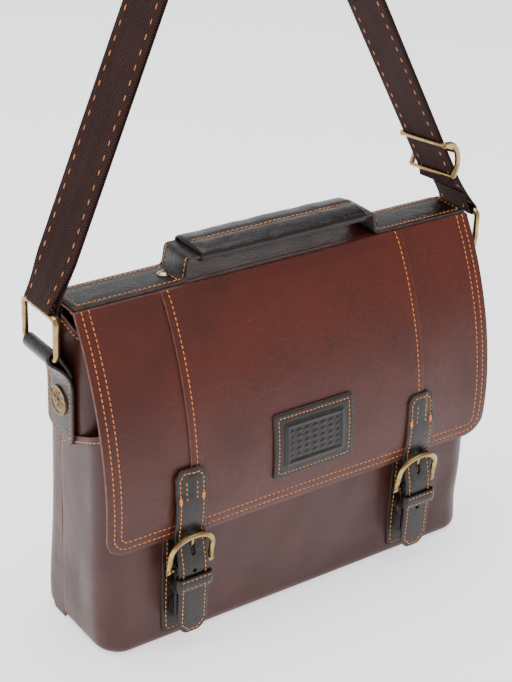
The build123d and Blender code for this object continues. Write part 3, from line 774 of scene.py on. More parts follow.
@dataclass(frozen=True)
class Webbing:
    """Herringbone webbing: diagonal ribs that turn back at each column, with a tight edge."""

    name: str
    colour: Colour
    deep: Colour
    rib: float = 0.0021
    column: float = 0.0062

    def make(self) -> bpy.types.Material:
        """A rib's height is a wave of the length plus a zigzag of the width, so the ribs reverse at each column."""
        n = Nodes(self.name)
        across, along = n.axis("Y", uv=True), n.axis("X", uv=True)
        zigzag = n.math("PINGPONG", across, self.column)
        phase = n.math("MULTIPLY", n.math("ADD", along, zigzag), 2 * math.pi / self.rib)
        rib = n.math("MULTIPLY_ADD", n.math("SINE", phase), 0.5)
        rib.node.inputs[2].default_value = 0.5
        yarn = n.math("SINE", n.math("MULTIPLY", across, 2 * math.pi / 0.0009))
        yarn = n.ramp(yarn, -1.0, 1.0)
        fuzz = n.noise(1500.0, 3.0, 0.7)
        # painted shade: the colour darkens in the grooves between ribs, following the rib height
        tone = n.mix(n.ramp(rib, 0.1, 0.9), self.deep, self.colour)
        tone = n.mix(n.ramp(n.noise(40.0), 0.35, 0.7, 0.0, 0.3), tone, self.deep)
        n.link(tone, n.shader.inputs["Base Color"])
        n.bump([(rib, 0.0005), (yarn, 0.00012), (fuzz, 0.0001)])
        n.set(Roughness=0.9, Sheen_Weight=0.06, Specular_IOR_Level=0.12)
        return n.material


@dataclass(frozen=True)
class Cloth:
    """Plain woven lining or board paper, by thread spacing."""

    name: str
    colour: Colour
    deep: Colour
    thread: float = 0.0007

    def make(self) -> bpy.types.Material:
        """Two crossed waves of Object coordinates make the weave."""
        n = Nodes(self.name)
        k = 2 * math.pi / self.thread
        waves = [n.math("SINE", n.math("MULTIPLY", n.axis(a), k)) for a in ("X", "Z")]
        weave = n.ramp(n.math("MULTIPLY", *waves), -1.0, 1.0)
        n.link(n.mix(n.ramp(n.noise(60.0), 0.3, 0.7), self.colour, self.deep), n.shader.inputs["Base Color"])
        n.bump([(weave, 0.00012), (n.noise(900.0), 0.00006)])
        n.set(Roughness=0.9, Sheen_Weight=0.2)
        return n.material


class Slot(Enum):
    """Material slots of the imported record."""

    BROWN = "brown_leather"
    DARK = "dark_leather"
    BRASS = "antique_brass"
    STEEL = "snap_steel"
    BOARD = "board"
    LINING = "lining_cloth"
    PADDING = "padding"
    WEBBING = "webbing"


@dataclass
class Finishes:
    """Every material of the bag, made once."""

    flap: bpy.types.Material = field(init=False)
    body: bpy.types.Material = field(init=False)
    dark: bpy.types.Material = field(init=False)
    brown_edge: bpy.types.Material = field(init=False)
    dark_edge: bpy.types.Material = field(init=False)
    suede: bpy.types.Material = field(init=False)
    thread: bpy.types.Material = field(init=False)
    strap_thread: bpy.types.Material = field(init=False)
    brass: bpy.types.Material = field(init=False)
    bronze: bpy.types.Material = field(init=False)
    rivet: bpy.types.Material = field(init=False)
    steel: bpy.types.Material = field(init=False)
    webbing: bpy.types.Material = field(init=False)
    lining: bpy.types.Material = field(init=False)
    board: bpy.types.Material = field(init=False)
    foam: bpy.types.Material = field(init=False)

    def __post_init__(self) -> None:
        """Makes the materials."""
        # flap: brighter towards the top, painted light from overhead
        self.flap = LeatherFinish("flap_leather", (0.1, 0.014, 0.006), (0.07, 0.014, 0.008),
            (0.04, 0.007, 0.004)).make()
        # body: brighter towards the foot, painted light bounced up from the floor
        self.body = LeatherFinish("body_leather", (0.055, 0.013, 0.008), (0.06, 0.016, 0.011), (0.03, 0.008, 0.005),
            (0.02, 0.26), crease_depth=0.0001).make()
        self.dark = LeatherFinish("dark_leather", (0.013, 0.0075, 0.006), (0.013, 0.0075, 0.006),
            (0.006, 0.0035, 0.003), roughness=(0.24, 0.4), coat=0.14).make()
        self.brown_edge = CutEdge("brown_cut_edge", (0.2, 0.075, 0.045), (0.11, 0.04, 0.025)).make()
        self.dark_edge = CutEdge("dark_cut_edge", (0.045, 0.032, 0.027), (0.02, 0.014, 0.012)).make()
        self.suede = Suede("flesh_side", (0.11, 0.055, 0.035), (0.07, 0.034, 0.022)).make()
        self.thread = Thread("orange_thread", (1.0, 0.33, 0.04), (0.8, 0.22, 0.025)).make()
        self.strap_thread = Thread("strap_thread", (0.75, 0.24, 0.05), (0.5, 0.15, 0.03)).make()
        self.brass = Metal("antique_brass", (0.4, 0.27, 0.11), (0.14, 0.08, 0.03)).make()
        self.bronze = Metal("dark_bronze", (0.22, 0.14, 0.07), (0.03, 0.02, 0.014), (0.3, 0.5), 0.9).make()
        self.rivet = Metal("rivet_metal", (0.42, 0.36, 0.27), (0.2, 0.15, 0.1), (0.2, 0.35)).make()
        self.steel = Metal("snap_steel", (0.6, 0.58, 0.54), (0.34, 0.31, 0.27), (0.18, 0.35)).make()
        self.webbing = Webbing("brown_webbing", (0.062, 0.02, 0.015), (0.008, 0.003, 0.0025)).make()
        self.lining = Cloth("lining_cloth", (0.11, 0.075, 0.05), (0.08, 0.052, 0.034)).make()
        self.board = Cloth("stiff_board", (0.05, 0.04, 0.032), (0.032, 0.026, 0.02), 0.0012).make()
        self.foam = Suede("grip_padding", (0.09, 0.075, 0.06), (0.06, 0.05, 0.04)).make()

    @property
    def brown_sheet(self) -> list[bpy.types.Material]:
        """Outer face, cut edge and flesh side of the flap leather."""
        return [self.flap, self.brown_edge, self.suede]

    @property
    def body_sheet(self) -> list[bpy.types.Material]:
        """Outer face, edge and flesh side of the body leather."""
        return [self.body, self.brown_edge, self.suede]

    @property
    def dark_sheet(self) -> list[bpy.types.Material]:
        """Outer face, edge and back of the dark leather."""
        return [self.dark, self.dark_edge, self.dark_edge]


def place(obj: bpy.types.Object, body: str, slot: Slot, *nodes: str) -> bpy.types.Object:
    """Lets a finished piece ride on a body, hides the CAD nodes that it stands for, and reports it."""
    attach(obj, body)
    if nodes:
        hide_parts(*nodes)
    LOG.info("%s: %d faces on %s", obj.name, len(obj.data.polygons), body)
    return obj


def bend(obj: bpy.types.Object, bodies: tuple[str, str], start: Sequence[float], end: Sequence[float], slot: Slot,
    *nodes: str) -> bpy.types.Object:
    """Bakes a finished piece's transform in place, hides the CAD nodes that it stands for, and reports it with the two
    bodies that it lies between.
    """
    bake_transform(obj)
    if nodes:
        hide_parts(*nodes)
    LOG.info("%s: %d faces between %s and %s", obj.name, len(obj.data.polygons), *bodies)
    return obj


# --------------------------------------------------------------------------------------------------------------------
# The flap's shape, shared by everything sewn to it
# --------------------------------------------------------------------------------------------------------------------


@dataclass
class FlapShape:
    """The flap's outer face: level under the band, over the fold, then two arcs that share a tangent at the shoulder.

    A place on it is (x, s): across, and the arc length from the back of the handle band down to the lower edge.
    """

    half: float = 185.0
    low: float = 99.0
    corner: float = 19.0
    shoulder: tuple[float, float] = (-62.5, 160.0)
    slope: float = 6.1
    upper_radius: float = 286.0
    lower_radius: float = 240.0
    fold_top: float = 281.8
    top_z: float = 286.5
    start_y: float = -12.0
    lap_x: float = 113.0
    lap_thickness: float = 2.0
    line: Curve = field(init=False)
    face_s: float = field(init=False)

    def __post_init__(self) -> None:
        """Joins the level run, the fold (a cubic between their tangents) and the two arcs."""
        z = np.linspace(self.fold_top, self.low, 400)
        face = self.face(z, 0.0)
        a, b = np.array([-16.2, self.top_z]), face[0]
        way = unit(face[1] - face[0])
        t = np.linspace(0, 1, 24)[:, None]
        fold = (1 - t) ** 3 * a + 3 * t * (1 - t) ** 2 * (a + [-2.4,
            0]) + 3 * t**2 * (1 - t) * (b - way * 2.2) + t**3 * b
        level = np.array([[self.start_y, self.top_z], [-14.0, self.top_z]])
        self.line = Curve(np.concatenate([level, fold, face[1:]]))
        self.face_s = float(np.interp(-self.fold_top, -self.line.points[20:, 1], self.line.s[20:]))

    def face(self, z: Array, proud: float | Array) -> Array:
        """Points (y, z) of the face at height z, moved out along the arc's radius.

        Args:
            z: Heights on the face itself.
            proud: Distance outwards.

        Returns:
            Points (n, 2).
        """
        tilt = math.radians(self.slope)
        radius = np.where(z >= self.shoulder[1], self.upper_radius, self.lower_radius)
        cy = self.shoulder[0] + radius * math.cos(tilt)
        cz = self.shoulder[1] - radius * math.sin(tilt)
        angle = np.arcsin((z - cz) / radius)
        reach = radius + proud
        return np.stack([cy - reach * np.cos(angle), cz + reach * np.sin(angle)], -1)

    def s_of(self, z: Array | float) -> Array:
        """Arc length at which the face has height z."""
        return np.interp(-np.asarray(z, float), -self.line.points[:, 1], self.line.s)

    def normal(self, s: Array) -> Array:
        """Outward unit normal (y, z) at arc length s: the direction turned a quarter."""
        d = self.line.way(s, 1.2)
        return np.stack([d[..., 1], -d[..., 0]], -1)

    def point(self, x: Array, s: Array, proud: Array | float) -> Array:
        """Points (x, y, z) on the flap, moved outwards."""
        yz = self.line.at(s) + self.normal(s) * np.asarray(proud, float)[..., None]
        return np.concatenate([np.broadcast_to(x, s.shape)[..., None], yz], -1)

    def up(self, s: Array) -> Array:
        """Outward unit normals (x, y, z) at arc length s."""
        n = self.normal(s)
        return np.concatenate([np.zeros_like(n[..., :1]), n], -1)

    def ease(self, s: Array) -> Array:
        """How far the centre panel's lap has risen at s: none under the band, full below the fold."""
        return smooth((s - 3.0) / 14.0)

    def sag(self, x: Array, s: Array) -> Array:
        """Gentle hand-made waviness of the hanging leather, fading out towards the fold."""
        grow = smooth((s - 40.0) / 140.0)
        return grow * (ripple(x, s, ((0.35, 1 / 150, 1 / 260, 0.6), (0.22, 1 / 83, 1 / 190, 2.1))) - 0.1)

    @property
    def end(self) -> float:
        """Arc length of the lower edge."""
        return self.line.length

    def rim_distance(self, x: Array, s: Array) -> Array:
        """Distance inside the rounded outline: to the sides and the lower edge, round the two corners."""
        dx, ds = self.half - np.abs(x), self.end - s
        q = np.stack([np.maximum(self.corner - dx, 0), np.maximum(self.corner - ds, 0)], -1)
        inner = self.corner - np.linalg.norm(q, axis=-1)
        return np.where((dx < self.corner) & (ds < self.corner), inner, np.minimum(dx, ds))


@dataclass
class FlapPanels:
    """The flap's leather: two side panels, the centre panel lapped over them, board and lining behind."""

    shape: FlapShape
    finishes: Finishes
    side_thickness: float = 2.2
    side_inner: float = 103.0
    seams: tuple[float, float] = (6.0, 12.0)
    lap_seam: float = 5.5
    fold: tuple[tuple[float, float, float], tuple[float, float, float]] = ((0, -0.012, 0.2865), (0, -0.026, 0.272))

    def _rows(self, last: float) -> Array:
        """Arc lengths of the rows, closer over the fold and by the lower seams."""
        return spaced(0.0, last, 3.4, [(10.0, 14.0, 1.3), (last - 9.0, 9.2, 0.75)])

    def side(self, sign: int) -> bpy.types.Object:
        """One side panel: columns end where the rounded corner cuts them.

        The rows are shares of each column's own length, so they bunch up into the corner.

        Args:
            sign: -1 for the left panel, 1 for the right.

        Returns:
            The piece.
        """
        f = self.shape
        x = spaced(self.side_inner, f.half, 3.4, [(f.half - 9.0, 9.2, 0.75), (f.lap_x, 3, 0.6)])
        near = np.maximum(x - (f.half - f.corner), 0.0)
        drop = f.corner - np.sqrt(np.maximum(f.corner**2 - near**2, 0.0))
        rows = self._rows(f.end)
        s = rows[None, :] * ((f.end - drop) / f.end)[:, None]
        gx = np.broadcast_to(x[:, None] * sign, s.shape)
        rim = f.rim_distance(gx, s)
        proud = f.sag(gx, s) - 0.35 * (1 - smooth(rim / 5.0))
        for seam in self.seams:
            proud = proud + groove(rim - seam, 0.34, 0.8) * smooth(s / 5)
        under = smooth((f.lap_x + 1.0 - np.abs(gx)) / 2.5)
        proud = proud * (1 - under)
        build = Build("flap_left_leather" if sign < 0 else "flap_right_leather")
        build.slab(f.point(gx, s, proud), self.side_thickness, 0.55, turn=-sign)
        obj = build.finish(self.finishes.brown_sheet)
        return bend(obj, ("flap_top", "flap_front"), *self.fold, Slot.BROWN,
            f"flap_{'left' if sign < 0 else 'right'}_panel")

    def centre(self) -> bpy.types.Object:
        """The centre panel, lapped over the side panels and rising to its full thickness below the band."""
        f = self.shape
        edges = [(side * (f.lap_x - 5), 5.2, 0.75) for side in (-1, 1)]
        x = spaced(-f.lap_x, f.lap_x, 4.0, edges)
        rows = self._rows(f.end)
        s, gx = np.broadcast_to(rows[None, :], (len(x), len(rows))), np.broadcast_to(x[:, None], (len(x), len(rows)))
        lap = f.lap_x - np.abs(gx)
        proud = 0.3 + (f.lap_thickness - 0.3) * f.ease(s) + f.sag(gx, s) * 0.6
        proud = proud - 0.3 * (1 - smooth(lap / 4.0)) - 0.3 * (1 - smooth((f.end - s) / 4.5))
        proud = proud + groove(lap - self.lap_seam, 0.32, 0.8) * smooth(s / 5)
        for seam in self.seams:
            proud = proud + groove(f.end - s - seam, 0.32, 0.8)
        build = Build("flap_centre_leather").slab(f.point(gx, s, proud), f.lap_thickness - 0.06, 0.5, turn=-1)
        obj = build.finish(self.finishes.brown_sheet)
        return bend(obj, ("flap_top", "flap_front"), *self.fold, Slot.BROWN, "flap_centre_panel")

    def seam_lines(self) -> bpy.types.Object:
        """All of the flap's stitches: two rows round the edge, and one inside each edge of the centre panel."""
        f = self.shape
        build = Build("flap_stitches")
        start = 4.5
        for sign in (-1, 1):
            for seam in self.seams:
                radius = f.corner - seam
                down = np.arange(start, f.end - f.corner, 1.2)
                turn = np.linspace(0, np.pi / 2, 14)
                run = np.arange(f.half - f.corner, f.lap_x + 2.0, -1.2)
                x = np.concatenate([np.full(len(down), f.half - seam), f.half - f.corner + radius * np.cos(turn), run])
                s = np.concatenate([down, f.end - f.corner + radius * np.sin(turn), np.full(len(run), f.end - seam)])
                build.stitches(f.point(x * sign, s, f.sag(x * sign, s) - 0.2), f.up(s), Stitch())
            s = np.arange(start, f.end - 14.0, 1.2)
            x = np.full(len(s), sign * (f.lap_x - self.lap_seam))
            build.stitches(f.point(x, s, f.lap_thickness * f.ease(s) + f.sag(x, s) * 0.6 - 0.15), f.up(s), Stitch())
        for seam in self.seams:
            x = np.arange(-f.lap_x + 2.0, f.lap_x - 2.0, 1.2)
            s = np.full(len(x), f.end - seam)
            build.stitches(f.point(x, s, f.lap_thickness + f.sag(x, s) * 0.6 - 0.2), f.up(s), Stitch())
        obj = build.finish([self.finishes.thread])
        return bend(obj, ("flap_top", "flap_front"), *self.fold, Slot.BROWN)

    def backing(self) -> None:
        """Board behind the centre panel, and the lining that covers the back of the whole flap."""
        f = self.shape
        for name, node, half, low, high, outer, thick, materials, slot in (
            ("flap_board", "flap_stiffener", 102.6, f.low + 6, 275.0, -0.15, 1.9, [self.finishes.board] * 3,
                Slot.BOARD),
            ("flap_inside", "flap_lining", f.half - 4.5, f.low + 4, 279.0, -2.75, 0.8, [self.finishes.lining] * 3,
                Slot.LINING),
        ):
            x = spaced(-half, half, 6.0)
            s = np.broadcast_to(np.linspace(f.s_of(high), f.s_of(low), 60)[None], (len(x), 60))
            gx = np.broadcast_to(x[:, None], s.shape)
            build = Build(name).slab(f.point(gx, s, outer + 0.5 * f.sag(gx, s)), thick, 0.3, turn=-1)
            place(build.finish(materials), "flap_front", slot, node)

    def build(self) -> None:
        """Makes all of the flap's leather."""
        for sign in (-1, 1):
            self.side(sign)
        self.centre()
        self.seam_lines()
        self.backing()


@dataclass
class FlapTop:
    """The leather that runs from the back panel over the top, under the handle band."""

    shape: FlapShape
    finishes: Finishes
    half: float = 184.0
    back_half: float = 162.0
    thickness: float = 2.2
    route: tuple[tuple[float, float], ...] = ((37.4, 250), (36.5, 262), (35.2, 273), (31.6, 281), (26.0, 285.4),
        (19.5, 286.5), (4, 286.5), (-11.8, 286.5))

    def build(self) -> None:
        """One sheet along its route, with a stitched lower hem on the back panel."""
        line = through(self.route)
        s = spaced(0, line.length, 2.5, [(4.5, 4.6, 0.7)])
        x = spaced(-self.half, self.half, 4.0, [(side * (self.half - 4), 4, 0.8) for side in (-1, 1)])
        gs = np.broadcast_to(s[None], (len(x), len(s)))
        gx = x[:, None] * (self.back_half + (self.half - self.back_half) * smooth((gs - 20.0) / 22.0)) / self.half
        way = line.way(gs)
        n = np.stack([way[..., 1], -way[..., 0]], -1)
        proud = groove(gs - 4.5, 0.3, 0.8) - 0.3 * (1 - smooth(gs / 4))
        yz = line.at(gs) + n * proud[..., None]
        top = Build("flap_top_leather").slab(np.concatenate([gx[..., None], yz], -1), self.thickness, 0.5, turn=-1)
        bend(top.finish(self.finishes.brown_sheet), ("bag", "flap_top"), (0, 0.034, 0.270), (0, 0.026, 0.285),
            Slot.BROWN, "flap_top_panel")
        seam = Build("back_hem_stitches")
        sx = np.arange(-self.back_half + 4, self.back_half - 4, 1.2)
        p = np.concatenate([sx[:, None], np.broadcast_to(line.at(np.array([4.5]))[0] + [-0.15, 0], (len(sx), 2))], -1)
        seam.stitches(p, np.broadcast_to([0.0, 1.0, 0.05], p.shape), Stitch())
        place(seam.finish([self.finishes.thread]), "bag", Slot.BROWN)


# --------------------------------------------------------------------------------------------------------------------
# Handle
# --------------------------------------------------------------------------------------------------------------------


@dataclass
class Handle:
    """Dark band across the flap that rises into a padded grip, with a domed rivet at each end of the rise."""

    finishes: Finishes
    y: float = 1.5
    width: float = 35.0
    thickness: float = 2.6
    half: float = 183.0
    band_z: float = 287.8
    rise: float = 17.4
    foot_x: float = 90.5
    top_x: float = 88.0
    grip_half: float = 77.0
    grip_width: float = 40.0
    grip_height: float = 11.5
    grip_wall: float = 1.7
    rivet_x: float = 99.0
    seam: float = 3.6

    def _line(self) -> Curve:
        """Outer face of the strap in the XZ plane, from the left end to the right end."""
        z = self.band_z + self.thickness / 2
        top = z + self.rise
        points = ((-self.half, z), (-self.foot_x, z), (-self.top_x, top), (self.top_x, top), (self.foot_x, z),
            (self.half, z))
        return cornered(points, (4.0, 4.0, 4.0, 4.0))

    def _surface(self, s: Array, w: Array, lift: Array | float) -> Array:
        """Points of the strap's outer face at arc length s and distance w from its middle, moved out by lift."""
        line = self._line()
        d = line.way(s)
        p = line.at(s) + np.stack([-d[..., 1], d[..., 0]], -1) * np.asarray(lift, float)[..., None]
        return np.stack([p[..., 0], np.broadcast_to(self.y + w, s.shape), p[..., 1]], -1)

    def strap(self) -> None:
        """The band and handle strap, slightly crowned, with a channel for each row of stitches."""
        line = self._line()
        s = spaced(0, line.length, 2.2)
        w = spaced(-self.width / 2, self.width / 2, 2.2, [(side * 13.9, 3.7, 0.6) for side in (-1, 1)])
        gs, gw = np.broadcast_to(s[:, None], (len(s), len(w))), np.broadcast_to(w[None], (len(s), len(w)))
        rim = self.width / 2 - np.abs(gw)
        lift = groove(rim - self.seam, 0.3, 0.7) - 0.25 * (1 - smooth(rim / 3)) + 0.22 * smooth((rim - 5) / 6)
        build = Build("handle_band").slab(self._surface(gs, gw, lift), self.thickness, 0.7, turn=1)
        place(build.finish(self.finishes.dark_sheet), "flap_top", Slot.DARK, "handle_strap")
        seam = Build("handle_band_stitches")

        def up(q: Array) -> Array:
            """Outward normals of the strap at arc lengths q."""
            return np.stack([-line.way(q)[..., 1], np.zeros(len(q)), line.way(q)[..., 0]], -1)

        for side in (-1, 1):
            reach = self.half - self.foot_x + 17.0
            for a, b in ((3.0, reach), (line.length - reach, line.length - 3.0)):
                q = np.arange(a, b, 1.2)
                seam.stitches(self._surface(q, np.full(len(q), side * (self.width / 2 - self.seam)), 0.05), up(q),
                    Stitch())
        for centre in (3.6, self.half - self.foot_x - 4.5, line.length - 3.6,
            line.length - (self.half - self.foot_x - 4.5)):
            v = np.linspace(-self.width / 2 + self.seam, self.width / 2 - self.seam, 24)
            q = np.full(len(v), centre)
            seam.stitches(self._surface(q, v, 0.1), up(q), Stitch())
        place(seam.finish([self.finishes.thread]), "flap_top", Slot.DARK)

    def _section(self, half_w: float, half_h: float, shape: bool) -> Array:
        """Section of the grip (y, z): a squarish oval, fuller on top, with the channels of the sleeve's seam."""
        t = np.linspace(0, 2 * np.pi, 120, endpoint=False)
        c, s = np.cos(t), np.sin(t)
        y = half_w * np.sign(c) * np.abs(c) ** 0.62
        z = half_h * np.sign(s) * np.abs(s) ** 0.78
        if shape:
            top = s > 0
            z = z + np.where(top,
                groove(y, 0.7, 0.9) + groove(np.abs(y) - 3.4, 0.28, 0.8) + 0.5 * (1 - (y / half_w) ** 2), 0)
            crease = groove(z + 1.6, 0.5, 0.6) * (y < -half_w * 0.8) + groove(z + 3.6, 0.4, 0.6) * (y < -half_w * 0.7)
            y = y - crease
        return np.stack([y, z], -1)

    def grip(self) -> None:
        """The sleeve: a closed wall with an inner and an outer face, swelling at its middle, and the padding inside."""
        u = np.concatenate([[-1.0, -0.996, -0.985], np.linspace(-0.97, 0.97, 60), [0.985, 0.996, 1.0]])
        z0 = self.band_z + self.rise
        outer = self._section(self.grip_width / 2, self.grip_height / 2, True)
        inner = self._section(self.grip_width / 2 - self.grip_wall, self.grip_height / 2 - self.grip_wall, False)
        swell = 1 + 0.035 * (1 - u**2) - 0.05 * (np.abs(u) > 0.99) * (np.abs(u) - 0.99) / 0.01
        lump = ripple(u * 77.0, np.zeros_like(u), ((0.18, 1 / 41, 0, 0.4), (0.12, 1 / 23, 0, 1.9)))
        x = u * self.grip_half
        face = np.stack([np.broadcast_to(x[:, None], (len(u), 120)), self.y + outer[None, :, 0] * swell[:, None],
            z0 + outer[None, :, 1] * swell[:, None] + lump[:, None] * (outer[None, :, 1] > 0)], -1)
        back = np.stack([np.broadcast_to(x[:, None], (len(u), 120)),
            np.broadcast_to(self.y + inner[None, :, 0], (len(u), 120)),
                np.broadcast_to(z0 + inner[None, :, 1], (len(u), 120))], -1)
        ring = np.concatenate([face, back[::-1]])
        slots = np.zeros((len(ring), 120), int)
        slots[len(u) - 1] = slots[-1] = 1
        slots[len(u) : -1] = 2
        build = Build("handle_grip_sleeve").wrapped(ring, True, True, slots.ravel())
        grip = place(build.finish(self.finishes.dark_sheet), "flap_top", Slot.DARK, "handle_grip")
        pad = Build("handle_grip_filling")
        height = (self.grip_height - 2 * self.grip_wall - self.thickness) / 2 - 0.1
        for side in (-1, 1):
            path = np.stack([np.linspace(-self.grip_half + 1.2, self.grip_half - 1.2, 12), np.full(12, self.y),
                np.full(12, z0 + side * (self.thickness + height + 0.1) / 2)], -1)
            pad.rod(path, [0, 0, 1], ellipse(15.5, height / 2, 28, 4.0))
        place(pad.finish([self.finishes.foam]), "flap_top", Slot.PADDING, "grip_padding")
        seam = Build("handle_grip_stitches")
        sx = np.arange(-self.grip_half + 3.0, self.grip_half - 3.0, 1.2)
        su = sx / self.grip_half
        top = z0 + (self.grip_height / 2 + 0.15) * (1 + 0.035 * (1 - su**2)) + ripple(sx, sx * 0,
            ((0.18, 1 / 41, 0, 0.4), (0.12, 1 / 23, 0, 1.9)))
        p = np.stack([sx, np.full(len(sx), self.y), top], -1)
        seam.stitches(p, np.broadcast_to([0.0, 0.0, 1.0], p.shape), Stitch())
        place(seam.finish([self.finishes.thread]), "flap_top", Slot.DARK)

    def rivets(self) -> None:
        """Domed caps with a rolled edge on a short shank."""
        profile = np.array([[0, 2.5], [1.2, 2.45], [2.4, 2.2], [3.4, 1.75], [4.1, 1.2], [4.35, 0.95], [4.75, 0.85],
            [4.9, 0.5], [4.8, 0.12], [4.4, 0.0], [1.5, 0.0], [1.5, -6.3], [0, -6.3]])
        fine = Curve(profile)
        corners = np.unique(np.concatenate([np.linspace(0, fine.length, 40), fine.s]))
        build = Build("handle_rivet_caps")
        for side in (-1, 1):
            centre = np.array([side * self.rivet_x, self.y, self.band_z + self.thickness / 2 + 0.15])
            build.turned(fine.at(corners), centre, np.array([0, 0, 1.0]))
        place(build.finish([self.finishes.rivet]), "flap_top", Slot.BRASS, "handle_rivets")

    def build(self) -> None:
        """Makes the whole handle."""
        self.strap()
        self.grip()
        self.rivets()


@dataclass
class Badge:
    """Stitched leather badge with an embossed panel: small raised lozenges inside a raised frame."""

    shape: FlapShape
    finishes: Finishes
    half_w: float = 38.5
    half_h: float = 28.0
    z: float = 153.0
    corner: float = 3.5
    thickness: float = 2.2
    inlay_half: tuple[float, float] = (29.5, 19.0)
    inlay_corner: float = 5.0

    def _plate(self, half_w: float, half_h: float, corner: float, proud: float,
        relief: Callable[[Array, Array], Array], step: float) -> Array:
        """Grid of a rounded rectangle on the flap, each column ending on the rounded corner."""
        x = spaced(-half_w, half_w, step, [(side * (half_w - corner / 2), corner / 2, step / 2) for side in (-1, 1)])
        near = np.maximum(np.abs(x) - (half_w - corner), 0)
        reach = half_h - corner + np.sqrt(np.maximum(corner**2 - near**2, 0))
        v = np.linspace(-1, 1, int(2 * half_h / step))
        h = reach[:, None] * v[None]
        gx = np.broadcast_to(x[:, None], h.shape)
        s = self.shape.s_of(self.z) + h
        return self.shape.point(gx, s, proud + relief(gx, h))

    def build(self) -> None:
        """Makes the badge, its stitches and its embossed panel."""
        base = self.shape.lap_thickness + self.thickness + 0.1

        def cover(x: Array, h: Array) -> Array:
            """Height of the patch's face: a channel for the stitches and a rounded rim."""
            rim = np.minimum(self.half_w - np.abs(x), self.half_h - np.abs(h))
            return groove(rim - 4.4, 0.32, 0.7) - 0.35 * (1 - smooth(rim / 2.6))

        def emboss(x: Array, h: Array) -> Array:
            """Height of the inlay's face: a raised frame round a field of lozenges."""
            rim = np.minimum(self.inlay_half[0] - np.abs(x), self.inlay_half[1] - np.abs(h))
            frame = 0.45 * smooth((2.6 - np.abs(rim - 3.2) * 2) / 1.6)
            u, v = x / 7.6, h / 5.2
            lozenge = np.abs(((u + 0.5) % 1) - 0.5) + np.abs(((v + 0.5) % 1) - 0.5)
            field_ = 0.5 * smooth((0.42 - lozenge) / 0.16) * smooth((rim - 6.0) / 0.8)
            return frame + field_ - 0.45 * smooth((rim - 4.8) / 0.9) - 0.3 * (1 - smooth(rim / 1.5))

        plate = Build("badge_plate").slab(self._plate(self.half_w, self.half_h, self.corner, base, cover, 1.0),
            self.thickness, 0.6, turn=-1)
        place(plate.finish(self.finishes.dark_sheet), "flap_front", Slot.DARK, "badge")
        inlay = Build("badge_embossed_panel").slab(self._plate(*self.inlay_half, self.inlay_corner, base + 0.75,
            emboss, 0.5), 0.95, 0.35, turn=-1)
        place(inlay.finish(self.finishes.dark_sheet), "flap_front", Slot.DARK, "badge_inlay")
        outline = rounded_loop(self.half_w - 4.4, self.half_h - 4.4, 2.0, 5, 40)
        s = self.shape.s_of(self.z) + outline[:, 1]
        seam = Build("badge_stitches").stitches(self.shape.point(outline[:, 0], s, base - 0.2), self.shape.up(s),
            Stitch(3.6, 2.7, 0.7))
        place(seam.finish([self.finishes.thread]), "flap_front", Slot.DARK)


# --------------------------------------------------------------------------------------------------------------------
# Body
# --------------------------------------------------------------------------------------------------------------------


